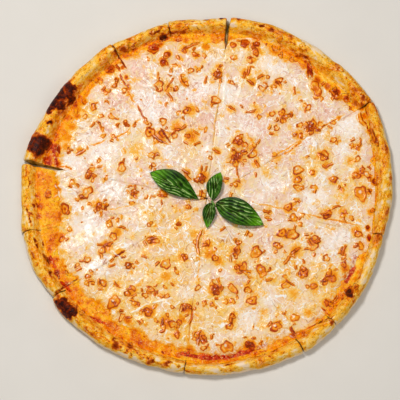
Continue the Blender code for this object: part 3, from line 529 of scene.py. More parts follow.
WARP_RIGHT, WARP_UP = make_warps()


def window(x, y, reach):
    """The part of a map round a place, and its cells' distances right and up from that place."""
    low_x = min(max(int((x - reach) * CELLS_PER_PX), 0), MAP_SIDE - 1)
    high_x = max(min(int((x + reach) * CELLS_PER_PX) + 2, MAP_SIDE), low_x + 1)
    low_y = min(max(int((y - reach) * CELLS_PER_PX), 0), MAP_SIDE - 1)
    high_y = max(min(int((y + reach) * CELLS_PER_PX) + 2, MAP_SIDE), low_y + 1)
    right = (np.arange(low_x, high_x) + 0.5) / CELLS_PER_PX - x
    up = y - (np.arange(low_y, high_y) + 0.5) / CELLS_PER_PX
    part = (slice(low_y, high_y), slice(low_x, high_x))
    return part, right[None, :] + WARP_RIGHT[part], up[:, None] + WARP_UP[part]


def raise_map(name, part, values):
    """Lifts a map to values wherever it is lower."""
    maps[name][part] = np.maximum(maps[name][part], values)


# A blister's look: browning of its ring, its middle and the halo round it, and heights in mm.
Blister = namedtuple("Blister", "ring ring_at ring_width middle middle_width halo dome ridge")
RING = Blister(0.52, 0.80, 0.30, 0.28, 0.50, 0.26, 0.10, 0.80)
BROWN = Blister(0.54, 0.76, 0.38, 0.74, 0.40, 0.30, 0.90, 0.20)
ORANGE = Blister(0.42, 0.76, 0.36, 0.36, 0.60, 0.26, 0.60, 0.10)
YELLOW = Blister(0.26, 0.90, 0.36, 0.28, 0.85, 0.18, -0.10, 0.15)
FLECK = Blister(0.0, 0.80, 0.30, 1.00, 0.70, 0.18, 0.05, 0.0)
CHAR = Blister(0.90, 0.90, 0.50, 1.00, 1.00, 0.60, 0.90, 0.0)
PIT = Blister(0.70, 0.85, 0.40, 0.95, 0.60, 0.50, -1.10, 0.2)
FLECK_SIZE = 1.1
FULL_SIZE = 3.5                 # a blister this large, in px, has its full height
OUTLINE_REACH = 2.5             # px each side of an outline over which the shape maps run from 0 to 1
OUTLINED_SIZE = 1.7             # smaller blisters have no outline
OUTLINED_BROWNING = 0.48        # shreds browned less than this have none either
OUTLINED_WIDTH = 1.5
PALE_SHREDS = 2000
PALE_REACH = 165.0              # px from the middle within which the pale shreds lie
SCATTER_REACH = 160.0           # and the scattered spots
# Scattered spots: how many are tried, their look, and their smallest and largest half width.
SCATTERED = ((120, ORANGE, 1.1, 2.1), (240, YELLOW, 1.2, 3.0), (80, RING, 1.2, 2.2), (70, FLECK, 0.6, 1.0))
SCATTERED_CURLS = 340
# Curls of browned cheese: ranges of width, edge browning and top browning, then height and largest bow.
SATELLITE_CURL = ((1.6, 2.8), (0.42, 0.68), (0.26, 0.42), 0.5, 0.45)
LOOSE_CURL = ((1.4, 2.6), (0.28, 0.56), (0.20, 0.34), 0.4, 0.5)
# The blisters that make up a cluster, each with its share of the cluster's size.
CLUSTER_PARTS = ((BROWN, 0.42), (RING, 0.40), (BROWN, 0.34), (RING, 0.36), (ORANGE, 0.45), (RING, 0.3))


def draw_shape(part, inside):
    """Notes how far inside an outline each cell is, in px, on whichever shape map has less there."""
    shape = np.clip(0.5 + inside / (2.0 * OUTLINE_REACH), 0.0, 1.0)
    emptier = maps["shape"][part].sum() <= maps["under_shape"][part].sum()
    raise_map("shape" if emptier else "under_shape", part, shape)


def draw_blister(x, y, size, look):
    """A blister of uneven outline, browned more on one side than on the other."""
    part, right, up = window(x, y, size * 2.6 + 1.0)
    turn = rng.uniform(0.0, math.pi)
    stretch = rng.uniform(0.82, 1.25)
    along = right * math.cos(turn) + up * math.sin(turn)
    across = up * math.cos(turn) - right * math.sin(turn)
    angle = np.arctan2(up, right)
    phases = rng.uniform(0.0, math.tau, 4)
    wobble = 1.0
    for waves, depth, phase in zip((2.0, 3.0, 5.0), (0.15, 0.12, 0.08), phases):
        wobble = wobble + depth * np.sin(waves * angle + phase)
    reach = np.hypot(along / stretch, across * stretch) / (size * wobble)
    one_side = 0.80 + 0.20 * np.sin(angle + phases[3])
    ring = np.exp(-((reach - look.ring_at) / look.ring_width) ** 2)
    middle = np.exp(-(reach / look.middle_width) ** 2)
    halo = np.exp(-(reach / 1.6) ** 4)
    raise_map("bake", part, look.ring * ring * one_side)
    raise_map("bake", part, look.middle * middle)
    raise_map("bake", part, look.halo * halo)
    size_share = min(1.0, size / FULL_SIZE)
    maps["spots"][part] += size_share * (look.dome * np.exp(-(reach / 0.85) ** 2) + look.ridge * ring)
    if look not in (YELLOW, FLECK) and size > OUTLINED_SIZE:
        draw_shape(part, (1.0 - reach) * size)
    # Raised blisters get a painted highlight on their upper left, the side the light comes from.
    if look in (RING, BROWN, ORANGE):
        glint = np.hypot(right + 0.20 * size, up - 0.24 * size) / (0.26 * size + 0.25)
        raise_map("gleam", part, rng.uniform(0.0, 1.2) * np.exp(-glint ** 2))


def line_window(x1, y1, x2, y2, beyond, margin):
    """The part of a map round a line, half the line's length with what is beyond, and its cells' places.

    The places are how far each cell lies along the line and across it.
    """
    length = math.hypot(x2 - x1, y2 - y1)
    half = length / 2.0 + beyond
    part, right, up = window((x1 + x2) / 2.0, (y1 + y2) / 2.0, half + margin)
    cosine = (x2 - x1) / length
    sine = -(y2 - y1) / length
    return part, half, right * cosine + up * sine, up * cosine - right * sine


def draw_shred(x1, y1, x2, y2, width, edge, top, height, bow=None):
    """A shred with browned edges and a lighter top, slightly bent. Its edge is darker on the side away from
    the light as painted shade, and a painted highlight runs along its lit side.
    """
    part, half, along, across = line_window(x1, y1, x2, y2, width * 0.4, width + 1.0)
    if bow is None:
        bow = rng.uniform(-0.18, 0.18)
    across = across - bow * math.hypot(x2 - x1, y2 - y1) * (1.0 - (along / half) ** 2)
    ends = smoothstep(1.05, 0.45, np.abs(along) / half)
    side = np.abs(across) / (width / 2.0 * (0.55 + 0.45 * ends))
    body = np.sqrt(np.clip(1.0 - (side * 0.85) ** 2, 0.0, 1.0)) * ends
    towards_light = 1.0 if (x2 - x1) - (y2 - y1) > 0.0 else -1.0
    # The edge's browning is stronger on the side away from the light: painted shade.
    painted_shade_side = 0.60 + 0.40 * smoothstep(0.6, -0.6, across * towards_light / width)
    raise_map("bake", part, edge * np.exp(-((side - 0.90) / 0.40) ** 2) * ends * painted_shade_side)
    raise_map("bake", part, top * np.exp(-(side / 0.8) ** 2) * ends)
    raise_map("bake", part, 0.26 * np.exp(-(side / 2.3) ** 4) * ends)
    maps["spots"][part] += height * body
    if edge > OUTLINED_BROWNING and width > OUTLINED_WIDTH:
        draw_shape(part, np.minimum((1.0 - side) * width / 2.0, (half - np.abs(along))))
    # A painted highlight along the shred's lit side.
    glint = np.exp(-((across * towards_light - 0.18 * width) / (0.16 * width + 0.12)) ** 2) * ends
    raise_map("gleam", part, rng.uniform(0.0, 0.9) * glint)


def draw_curl(x, y, heading, half, curl):
    """A short curled shred with its middle at a place."""
    widths, edges, tops, height, bow = curl
    right = half * math.cos(heading)
    down = half * math.sin(heading)
    draw_shred(x - right, y - down, x + right, y + down, rng.uniform(*widths), rng.uniform(*edges),
               rng.uniform(*tops), height, rng.uniform(-bow, bow))


def draw_satellites(x, y, size, count):
    """Small curled shreds that lie round a blister, browned like it."""
    for _ in range(count):
        turn = rng.uniform(0.0, math.tau)
        away = size + rng.uniform(0.6, 4.0)
        heading = rng.uniform(0.0, math.tau)
        half = rng.uniform(1.5, 3.6)
        draw_curl(x + away * math.cos(turn), y + away * math.sin(turn), heading, half, SATELLITE_CURL)


def draw_area(x, y, size, strength, name):
    """A broad soft area."""
    part, right, up = window(x, y, size * 1.8)
    raise_map(name, part, strength * np.exp(-(np.hypot(right, up) / size * 1.1) ** 3))


def draw_highlight_ridge(x1, y1, x2, y2, width):
    """A raised ridge of cheese with a painted highlight along it."""
    part, half, along, across = line_window(x1, y1, x2, y2, width, width)
    ridge = np.exp(-(across / (0.5 * width)) ** 2) * smoothstep(1.0, 0.5, np.abs(along) / half)
    raise_map("gleam", part, ridge)
    maps["spots"][part] += 0.5 * ridge


def draw_red_streak(x1, y1, x2, y2, width):
    """Bare tomato sauce along a line."""
    part, half, along, across = line_window(x1, y1, x2, y2, width, width)
    streak = np.exp(-np.abs(across / (0.6 * width)) ** 3) * smoothstep(1.0, 0.6, np.abs(along) / half)
    raise_map("red", part, 0.85 * streak)


def turned_place(degrees, distance, aside=0.0):
    """The pixel at a direction and distance from the middle, moved aside anticlockwise."""
    turn = math.radians(degrees)
    return (PLAN_MIDDLE_PX[0] + distance * math.cos(turn) - aside * math.sin(turn),
            PLAN_MIDDLE_PX[1] - distance * math.sin(turn) - aside * math.cos(turn))


def draw_pale_shreds(count):
    """Half melted shreds all over the cheese, as layers of their own: the higher one shows.

    Gives their height. The map lie runs from 0 on a shred's dark side to 1 on its lit side, strand says how
    plain the shred is to see.
    """
    field = np.zeros((MAP_SIDE, MAP_SIDE))
    radii = PALE_REACH * np.sqrt(rng.random(count))
    turns = rng.uniform(0.0, 360.0, count)
    lengths = rng.uniform(8.0, 26.0, count)
    widths = rng.uniform(2.0, 4.2, count)
    headings = rng.uniform(0.0, math.pi, count)
    bends = rng.uniform(-0.26, 0.26, count)
    levels = rng.uniform(0.35, 1.0, count)
    plainness = rng.uniform(0.0, 1.0, count)
    for radius, turn, length, width, heading, bend, level, plain in zip(
            radii, turns, lengths, widths, headings, bends, levels, plainness):
        half = length / 2.0
        part, right, up = window(*turned_place(turn, radius), half)
        along = right * math.cos(heading) + up * math.sin(heading)
        across = up * math.cos(heading) - right * math.sin(heading)
        across = across - bend * length * (1.0 - (along / half) ** 2)
        ends = smoothstep(1.0, 0.6, np.abs(along) / half)
        side = across / (width / 2.0)
        shred = level * np.sqrt(np.clip(1.0 - side ** 2, 0.0, 1.0)) * ends
        if math.sin(heading) + math.cos(heading) < 0.0:
            side = -side
        strength = smoothstep(0.15, 0.80, plain)
        higher = shred > field[part]
        maps["lie"][part] = np.where(higher, 0.5 + 0.5 * np.clip(side, -1.0, 1.0), maps["lie"][part])
        maps["strand"][part] = np.where(higher, strength * ends, maps["strand"][part])
        field[part] = np.where(higher, shred, field[part])
    return field


def softened(field, size):
    """A map seen through a soft round spot of that size in pixels."""
    frequency = np.fft.fftfreq(MAP_SIDE) * CELLS_PER_PX
    fall = np.exp(-2.0 * (math.pi * size * frequency) ** 2)
    return np.real(np.fft.ifft2(np.fft.fft2(field) * fall[:, None] * fall[None, :]))


def random_place():
    """A pixel somewhere on the cheese."""
    away = SCATTER_REACH * math.sqrt(rng.random())
    return turned_place(rng.uniform(0.0, 360.0), away)


def scatter(count, look, low, high):
    """Small spots at random places of the cheese, most of them where it is warm."""
    for _ in range(count):
        x, y = random_place()
        size = rng.uniform(low, high)
        if rng.random() < 0.25 + 0.75 * float(read_map("warm", x, y)):
            draw_blister(x, y, size, look)


def scatter_curls(count):
    """Small browned curls of cheese at random places, most of them where it is warm."""
    for _ in range(count):
        x, y = random_place()
        heading = rng.uniform(0.0, math.tau)
        half = rng.uniform(1.4, 4.2)
        if rng.random() < 0.35 + 0.65 * float(read_map("warm", x, y)):
            draw_curl(x, y, heading, half, LOOSE_CURL)


def draw_maps():
    """Draws all that the cheese, the sauce and the rim show, each thing over what it lies on."""
    for name, areas in (("white", WHITE_AREAS), ("warm", WARM_AREAS), ("blush", BLUSH_AREAS),
                        ("red", RED_SAUCE), ("pale", RIM_PALE), ("bake", BROWNED_AREAS + RIM_GOLD)):
        for area in areas:
            draw_area(*area, name)

    x, y = map_places()
    shreds = softened(draw_pale_shreds(PALE_SHREDS), 0.8)
    melted = smoothstep(-0.45, 0.05, layered_noise(x, y, 26.0, 300, 2))
    mounds = 0.40 * layered_noise(x, y, 17.0, 310, 2) + 0.22 * layered_noise(x, y, 7.0, 320, 2)
    maps["cheese"] += mounds + shreds * (0.45 - 0.38 * melted)
    maps["shreds"] = shreds * (1.0 - 0.7 * melted)
    maps["strand"] *= (1.0 - 0.75 * melted) * smoothstep(-0.4, 0.3, layered_noise(x, y, 9.0, 330, 2))

    for spots, most in ((RING_BLISTERS, 2), (BROWN_BLISTERS, 2), (ORANGE_SPOTS, 2), (CLUSTERS, 4)):
        for spot in spots:
            draw_satellites(*spot, int(rng.integers(0, most + 1)))
    for spots, look in ((RING_BLISTERS, RING), (BROWN_BLISTERS + RIM_BROWN, BROWN), (ORANGE_SPOTS, ORANGE),
                        (YELLOW_POOLS, YELLOW)):
        for spot in spots:
            draw_blister(*spot, look)
    for x, y, size in CLUSTERS:
        for look, share in CLUSTER_PARTS:
            turn = rng.uniform(0.0, math.tau)
            away = size * rng.uniform(0.2, 0.75)
            draw_blister(x + away * math.cos(turn), y + away * math.sin(turn), size * share, look)
    for x, y in DARK_FLECKS:
        draw_blister(x, y, FLECK_SIZE, FLECK)
    for shred in BROWN_SHREDS:
        draw_shred(*shred, 0.56, 0.36, 0.6)
    for area in CHAR_AREAS:
        draw_area(*area, "bake")
    for spots, look in ((RIM_CHAR, CHAR), (RIM_PITS, PIT)):
        for spot in spots:
            draw_blister(*spot, look)
    for dash in RIM_DASHES:
        draw_shred(*dash, 0.80, 0.90, -0.3)
    for spots, look in ((RIM_DARK_SPOTS, BROWN), (RIM_SOFT_SPOTS, ORANGE)):
        for degrees, away, size in spots:
            draw_blister(*turned_place(degrees, away), size, look)
    for degrees, away, end_degrees, end_away, width in RIM_STREAKS:
        start = turned_place(degrees, away)
        end = turned_place(end_degrees, end_away)
        draw_shred(*start, *end, width, 0.74, 0.66, -0.2)
    for degrees, near, far, aside, width, browning in CUT_LINES:
        start = turned_place(degrees, near, aside)
        end = turned_place(degrees, far, aside)
        draw_shred(*start, *end, width, browning, browning, -0.2, 0.0)
    for crease in CREASES:
        draw_shred(*crease, 0.56, 0.50, -0.2)
    for line in HIGHLIGHT_RIDGES:
        draw_highlight_ridge(*line)
    for streak in RED_STREAKS:
        draw_red_streak(*streak)
    for spots in SCATTERED:
        scatter(*spots)
    scatter_curls(SCATTERED_CURLS)
    maps["spots"] = softened(maps["spots"], 0.45)
    maps["warm"] = np.clip(1.2 * maps["warm"] + 2.3 * softened(maps["bake"], 2.6), 0.0, 1.0)
    height = maps["cheese"] + maps["spots"]
    # Painted shade in the hollows of the cheese's relief, partly standing for fat and sauce showing where the
    # cheese is thin.
    maps["cavity"] = softened(height, 2.2) - softened(height, 0.4)


def read_map(name, px, py):
    """A map's value at places between its cells."""
    field = maps[name]
    u = np.clip(np.asarray(px) * CELLS_PER_PX - 0.5, 0.0, MAP_SIDE - 1.001)
    v = np.clip(np.asarray(py) * CELLS_PER_PX - 0.5, 0.0, MAP_SIDE - 1.001)
    column = u.astype(int)
    row = v.astype(int)
    return between(field[row, column], field[row, column + 1], field[row + 1, column],
                   field[row + 1, column + 1], u - column, v - row)


# ---------------- the slices' plan, as in the frame
def through_three(values, share):
    """A curve through three values, at the start, the middle and the end."""
    start, middle, end = values
    return (start * (2.0 * share - 1.0) * (share - 1.0) + middle * 4.0 * share * (1.0 - share)
            + end * share * (2.0 * share - 1.0))


def reach_wave(angle):
    """How far the rim's outline and the layers' edges waver."""
    turn = np.radians(angle)
    return REACH_WAVE * (0.6 * np.sin(11.0 * turn + 0.8) + 0.4 * np.sin(26.0 * turn + 2.1))


def crest_wave(angle):
    """How far the rim's crest waves up and down, with its few high puffs."""
    turn = np.radians(angle)
    wave = CREST_WAVE * (0.6 * np.sin(9.0 * turn + 1.3) + 0.4 * np.sin(21.0 * turn + 0.4))
    for centre, height, half_width in RIM_BLISTERS:
        wave = wave + height * np.exp(-((angle % 360.0 - centre) / half_width) ** 2)
    return wave


def cut_line(angle, gap, side):
    """A point and a direction along one edge of a cut."""
    turn = math.radians(angle)
    along = Vector((math.cos(turn), math.sin(turn)))
    across = Vector((-along.y, along.x)) * side
    near = Vector(CUT_CENTRE) + across * CUT_GAP_CENTRE / 2.0
    far = Vector(CUT_CENTRE) + along * CUT_REACH + across * gap / 2.0
    return near, (far - near).normalized()


def crossing(point_a, way_a, point_b, way_b):
    """Where two lines meet."""
    between = point_b - point_a
    distance = (between.x * way_b.y - between.y * way_b.x) / (way_a.x * way_b.y - way_a.y * way_b.x)
    return point_a + way_a * distance


REACH_STEPS = 12                # enough for the distances to settle
Plan = namedtuple("Plan", "index apex ways angle opening turn outer foot cheese crest")


def slice_plan(index, column_step):
    """The slice's apex and, for each column, its direction and the distances to each of its edges."""
    piece = SLICES[index]
    following = SLICES[(index + 1) % len(SLICES)]
    end_cut = following.cut if following.cut > piece.cut else following.cut + 360.0
    span = end_cut - piece.cut
    first_point, first_way = cut_line(piece.cut, piece.gap, 1)
    last_point, last_way = cut_line(end_cut, following.gap, -1)
    apex = np.array(crossing(first_point, first_way, last_point, last_way))
    first = math.atan2(first_way.y, first_way.x)
    opening = (math.atan2(last_way.y, last_way.x) - first) % math.tau
    columns = max(8, int(opening * RIM_RADIUS / column_step))
    turn = opening * np.linspace(0.0, 1.0, columns + 1)
    ways = np.stack([np.cos(first + turn), np.sin(first + turn)], axis=-1)

    def reach(values):
        distance = np.full(columns + 1, values[1])
        for _ in range(REACH_STEPS):
            point = apex + ways * distance[:, None]
            angle = np.degrees(np.arctan2(point[:, 1], point[:, 0]))
            share = ((angle - piece.cut + 180.0) % 360.0 - 180.0) / span
            wanted = through_three(values, share) + reach_wave(angle)
            distance = distance + wanted - np.linalg.norm(point, axis=1)
        return distance

    angle = np.degrees(first + turn)
    crest = through_three(piece.crest, turn / opening) + crest_wave(angle)
    return Plan(index, apex, ways, angle, opening, turn, reach(piece.outer), reach(piece.foot),
                reach(piece.cheese), crest)


def plan_shift():
    """How far the frame's origin lies from the plan's, in mm, read off the stalk's place in both."""
    low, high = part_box("basil_stem")
    seen = (low + high) / 2.0 / MM
    x = (STEM_START[0] + STEM_END[0]) / 2.0
    y = (STEM_START[1] + STEM_END[1]) / 2.0 * DEPTH_STRETCH
    return np.array([seen.x - x, seen.y - y])


SHIFT = plan_shift()


def in_frame(x, y, z):
    """Plan millimetres to the frame's metres."""
    return np.stack([(x + SHIFT[0]) * MM, (y * DEPTH_STRETCH + SHIFT[1]) * MM, z * MM + 0.0 * x], axis=-1)


def pixel_of(x, y, z):
    """The photograph's pixel that shows a place of the plan at a height."""
    lift = (z - CHEESE_LEVEL) * math.cos(math.radians(VIEW_ELEVATION))
    return PLAN_MIDDLE_PX[0] + x / MM_PER_PX, PLAN_MIDDLE_PX[1] - (y + lift) / MM_PER_PX


# ---------------- meshes
def select_none():
    """Leaves edit mode and deselects everything."""
    if bpy.context.mode != "OBJECT":
        bpy.ops.object.mode_set(mode="OBJECT")
    bpy.ops.object.select_all(action="DESELECT")


def grid_of(name, places, marks):
    """A grid with its points in place and its marks stored, left all selected in edit mode."""
    rows, columns = places.shape[:2]
    select_none()
    bpy.ops.mesh.primitive_grid_add(x_subdivisions=columns - 1, y_subdivisions=rows - 1, size=2.0)
    piece = bpy.context.active_object
    piece.name = name
    mesh = piece.data
    mesh.name = name
    mesh.vertices.foreach_set("co", places.reshape(-1).astype(np.float32))
    for mark, values in marks.items():
        layer = mesh.attributes.new(mark, "FLOAT", "POINT")
        layer.data.foreach_set("value", values.reshape(-1).astype(np.float32))
    mesh.update()
    bpy.ops.object.mode_set(mode="EDIT")
    bpy.ops.mesh.select_all(action="SELECT")
    return piece


def closed_piece(name, places, marks, material):
    """A closed piece from a grid: its columns close round it, its last row is filled with one face."""
    piece = grid_of(name, places, marks)
    bpy.ops.mesh.remove_doubles(threshold=SAME_PLACE)
    bpy.ops.mesh.select_all(action="DESELECT")
    bpy.ops.mesh.select_mode(type="EDGE")
    bpy.ops.mesh.select_non_manifold(extend=False, use_wire=False, use_multi_face=False,
                                     use_non_contiguous=False, use_verts=False)
    bpy.ops.mesh.edge_face_add()
    bpy.ops.mesh.select_mode(type="VERT")
    bpy.ops.mesh.select_all(action="SELECT")
    bpy.ops.mesh.normals_make_consistent(inside=False)
    bpy.ops.object.mode_set(mode="OBJECT")
    bpy.ops.object.shade_smooth_by_angle(angle=math.radians(WEDGE_SMOOTHING))
    piece.data.materials.append(material)
    return piece


def cut_of(plan, side):
    """Which of the cuts lies on the slice's first side, 0, or its last, 1."""
    return (plan.index + side) % len(SLICES)


def half_gap(plan, side, along):
    """Half the frame's gap at a distance along a cut."""
    gap = SLICES[cut_of(plan, side)].gap
    return CUT_GAP_CENTRE / 2.0 + (gap - CUT_GAP_CENTRE) / 2.0 * along / CUT_REACH


def side_way(plan, side):
    """The direction of a cut."""
    return plan.ways[-1] if side else plan.ways[0]


def from_side(plan, side, distance):
    """How far each of the top's places lies from a cut."""
    turn = plan.opening - plan.turn if side else plan.turn
    return distance * np.sin(np.minimum(turn, math.pi / 2.0))[None, :]


def line_noise(along, scale, seed, layers):
    """Layered noise along a line."""
    return layered_noise(along, 0.0 * along, scale, seed, layers)


def wander(plan, side, along):
    """How far a cut leaves its straight line: the same for the slices on both its sides."""
    return 0.6 * line_noise(along, 14.0, 500 + cut_of(plan, side), 2)


def plan_places(plan, distance, closing):
    """The top's places, pushed towards the cuts by closing, which fades out away from them."""
    x = plan.apex[0] + plan.ways[None, :, 0] * distance
    y = plan.apex[1] + plan.ways[None, :, 1] * distance
    for side, outward in ((0, -1.0), (1, 1.0)):
        way = side_way(plan, side)
        fade = np.clip(1.0 - from_side(plan, side, distance) / SIDE_REACH, 0.0, 1.0) ** 2
        shift = fade * (wander(plan, side, distance) + outward * closing(side, distance))
        x = x - way[1] * shift
        y = y + way[0] * shift
    return x, y


def corner_places(plan, side, distance, closing):
    """The places of a cut face's lower edge, for each row."""
    way = side_way(plan, side)
    shift = wander(plan, side, distance) + (1.0 if side else -1.0) * closing(side, distance)
    x = plan.apex[0] + way[0] * distance - way[1] * shift
    y = plan.apex[1] + way[1] * distance + way[0] * shift
    return x, y


def level_corners(plan, distance, limit, closing, level):
    """The lower edges of both cut faces at one height, no further out than each column's limit."""
    corners = []
    for side, column in ((0, 0), (1, -1)):
        along = np.minimum(distance[:, column], limit[column])
        corners.append(in_frame(*corner_places(plan, side, along, closing), level))
    return corners


def closing_to(plan, kept, further, fade):
    """A function that tells how far a piece closes a cut: all but a kept half gap, up to where it fades."""
    def closing(side, along):
        closed_to = CUT_CLOSED_TO[cut_of(plan, side)] + further
        return (half_gap(plan, side, along) - kept) * smoothstep(closed_to + fade, closed_to, along)

    return closing


def with_rows(distance, height, marks, rows):
    """A grid with further rows below its last one, each a distance and a height for every column."""
    for row_distance, row_height in rows:
        distance = np.vstack([distance, row_distance[None, :]])
        height = np.vstack([height, row_height + 0.0 * row_distance[None, :]])
    kept = {name: np.vstack([values] + [values[-1:]] * len(rows)) for name, values in marks.items()}
    return distance, height, kept


def wedge(name, plan, top, corners, steps, marks, wall_marks, material, wall_dent=None):
    """A closed wedge. Its top runs over all columns, its two cut faces run down to the underside."""
    faces = []
    for side, inward in ((0, 1.0), (1, -1.0)):
        way = side_way(plan, side)
        into = np.array([-way[1], way[0], 0.0]) * inward * MM
        upper = top[:, -1 if side else 0]
        face = []
        for step in range(steps):
            share = step / steps
            place = corners[side] * (1.0 - share) + upper * share
            if step and wall_dent:
                place = place + into * wall_dent(place, share, side)[:, None]
            face.append(place)
        faces.append(face)
    places = np.stack(faces[0] + list(top.swapaxes(0, 1)) + faces[1][::-1] + [faces[0][0]], axis=1)
    all_marks = {}
    for mark, values in marks.items():
        first, last = [[wall_marks(mark, values[:, column], step / steps) for step in range(steps)]
                       for column in (0, -1)]
        all_marks[mark] = np.stack(first + list(values.T) + last[::-1] + [first[0]], axis=1)
    return closed_piece(name, places, all_marks, material)


# ---------------- slices
def round_angle(plan):
    """Angles counted on without a jump inside a slice: they start again at the last cut."""
    start = SLICES[-1].cut - 360.0
    return (plan.angle - start) % 360.0 + start


def cheese_swell(x, y):
    """The cheese's broad swells, as in the frame."""
    return 0.225 * (np.sin(x * 0.16 + 0.7) * np.cos(y * 0.13 - 0.4) + np.sin(x * 0.09 - y * 0.21 + 2.0))


def band_browning(x, y):
    """How browned the band between cheese and rim is: one look for the three pieces that meet there."""
    bake = 0.35 + 0.26 * layered_noise(x, y, 9.0, 130, 3) + 0.10 * layered_noise(x, y, 3.4, 136, 2)
    return np.maximum(bake, 0.72 * smoothstep(0.38, 0.70, layered_noise(x, y, 5.0, 133, 3)))


def cheese_edge(plan):
    """The melted cheese's uneven edge."""
    round_way = round_angle(plan) * MM_PER_DEGREE
    tongues = line_noise(round_way, 11.0, 40, 2)
    drips = layered_noise(round_way, 0.0 * round_way + 9.0, 3.4, 60, 2)
    return np.minimum(plan.cheese + EDGE_SPREADS[plan.index] + 5.0 * tongues + 2.0 * drips, plan.foot + 1.2)


def rim_slope(plan, distance):
    """Height of the dough's upper side at distances beyond the rim's foot."""
    crest_at = plan.outer - (plan.outer - plan.foot) * RIM_CREST_SHARE
    share = np.clip((crest_at - distance) / (crest_at - plan.foot), 0.0, 1.0)
    fall = 0.5 + 0.5 * np.cos(math.pi * share ** RIM_SLOPE_EASE)
    return DOUGH_TOP + (plan.crest - DOUGH_TOP) * fall


def build_cheese(index, material):
    """The melted cheese of one slice, with its relief, closed over most of the cuts and sagging into them."""
    plan = slice_plan(index, CHEESE_COLUMN)
    edge = cheese_edge(plan)
    count = int(plan.cheese.max() / CHEESE_STEP)
    distance = np.linspace(0.0, 1.0, count + 1)[:, None] * edge[None, :]
    closing = closing_to(plan, CHEESE_SLIT, 0.0, 9.0)
    x, y = plan_places(plan, distance, closing)
    px, py = pixel_of(x, y, CHEESE_LEVEL)
    floor = CHEESE_BOTTOM + CHEESE_EDGE_HEIGHT
    top = CHEESE_TOP - CHEESE_LOWERED + cheese_swell(x, y)
    top = top + read_map("cheese", px, py) + read_map("spots", px, py)
    thin = 1.0 - np.clip((edge[None, :] - distance) / CHEESE_THINNING, 0.0, 1.0)
    top = floor + (top - floor) * (1.0 - thin ** 1.9)
    sagging = np.zeros_like(top)
    for side in (0, 1):
        cut = cut_of(plan, side)
        depth = CUT_SAGS[cut]
        sag = 1.0 - np.clip(from_side(plan, side, distance) / (0.9 + 0.9 * depth), 0.0, 1.0)
        depth = depth * smoothstep(-0.35, 0.25, line_noise(distance, 19.0, 700 + cut, 2))
        top = top - depth * (1.0 - np.sqrt(1.0 - sag ** 2))
        sagging = np.maximum(sagging, sag * np.minimum(1.0, depth))
    cap = np.where(np.hypot(x, y) < BASIL_REACH, LEAF_BOTTOM - 0.1, CHEESE_TOP + 2.2)
    top = np.clip(top, floor, cap)

    patches = layered_noise(x, y, 8.0, 80, 3)
    near_edge = smoothstep(5.5, 0.4, edge[None, :] - distance + 3.0 * patches) * EDGE_BROWNINGS[index]
    bake = np.maximum(read_map("bake", px, py), near_edge * band_browning(x, y))
    patchy = smoothstep(0.45, 0.65, smoothstep(-0.5, 0.5, patches))
    marks = {name: read_map(name, px, py) for name in
             ("white", "warm", "blush", "red", "cavity", "gleam", "lie", "strand", "shape", "under_shape")}
    marks["bake"] = np.maximum(bake, 0.24 * sagging * patchy)
    marks["warm"] = np.maximum(marks["warm"], 0.8 * near_edge)

    # The edge itself: two short rows that roll under to the flat underside.
    distance, top, marks = with_rows(distance, top, marks, (
        (edge - 0.15, CHEESE_BOTTOM + 0.12), (edge - CHEESE_ROLL, CHEESE_BOTTOM)))
    x, y = plan_places(plan, distance, closing)

    def wall_marks(name, values, rise):
        return np.maximum(values * rise, 0.42 * (1.0 - rise)) if name == "bake" else values

    corners = level_corners(plan, distance, edge - CHEESE_ROLL, closing, CHEESE_BOTTOM)
    return wedge(f"melted_cheese_{index + 1:02d}", plan, in_frame(x, y, top), corners, 3, marks, wall_marks,
                 material)


def build_sauce(index, material):
    """The tomato sauce of one slice: flat under the cheese, lumpy and oily in the band up to the rim."""
    plan = slice_plan(index, SAUCE_COLUMN)
    shore = cheese_edge(plan)
    round_way = round_angle(plan) * MM_PER_DEGREE
    edge = plan.foot + SAUCE_CLIMB + 1.3 * line_noise(round_way, 6.0, 45, 3)
    hidden = shore - SAUCE_HIDDEN
    under = np.linspace(0.0, 1.0, 8)[:, None] * hidden[None, :]
    band = np.linspace(0.0, 1.0, SAUCE_ROWS)[1:, None]
    distance = np.vstack([under, hidden[None, :] + band * (edge - hidden)[None, :]])
    closing = closing_to(plan, SAUCE_SLIT, 4.0, 6.0)
    x, y = plan_places(plan, distance, closing)
    px, py = pixel_of(x, y, CHEESE_LEVEL - 1.5)
    beyond = distance - shore[None, :]
    shreds = read_map("shreds", px, py)
    lumps = (0.45 * layered_noise(x, y, 7.0, 120, 2) + 0.35 * layered_noise(x, y, 2.8, 123, 2)
             + 0.4 * shreds + 0.5 * read_map("spots", px, py))
    slope = rim_slope(plan, distance)
    rise = np.clip(0.45 + smoothstep(0.2, 3.0, beyond) * (0.5 + lumps), 0.1, 2.2)
    top = np.maximum(SAUCE_TOP + smoothstep(-0.6, 0.5, beyond) * rise, slope + 0.30)
    top = top - smoothstep(2.8, 0.0, edge[None, :] - distance) * (top - slope - 0.06)
    milk = smoothstep(0.35, 0.8, shreds) * smoothstep(-0.1, 0.4, layered_noise(x, y, 10.0, 140, 2))
    marks = {name: read_map(name, px, py) for name in ("bake", "red", "shape")}
    marks["bake"] = np.maximum(marks["bake"], band_browning(x, y))
    marks["milk"] = milk * smoothstep(9.0, 1.0, beyond)
    distance, top, marks = with_rows(distance, top, marks, (
        (edge - 0.30, rim_slope(plan, edge - 0.30) + 0.02), (plan.foot - SAUCE_ROLL, SAUCE_BOTTOM)))
    x, y = plan_places(plan, distance, closing)

    def wall_marks(name, values, rise):
        return 0.0 * values if name == "milk" else np.maximum(values, 0.6)

    corners = level_corners(plan, distance, plan.foot - SAUCE_ROLL, closing, SAUCE_BOTTOM)
    return wedge(f"tomato_sauce_{index + 1:02d}", plan, in_frame(x, y, top), corners, 2, marks, wall_marks,
                 material)


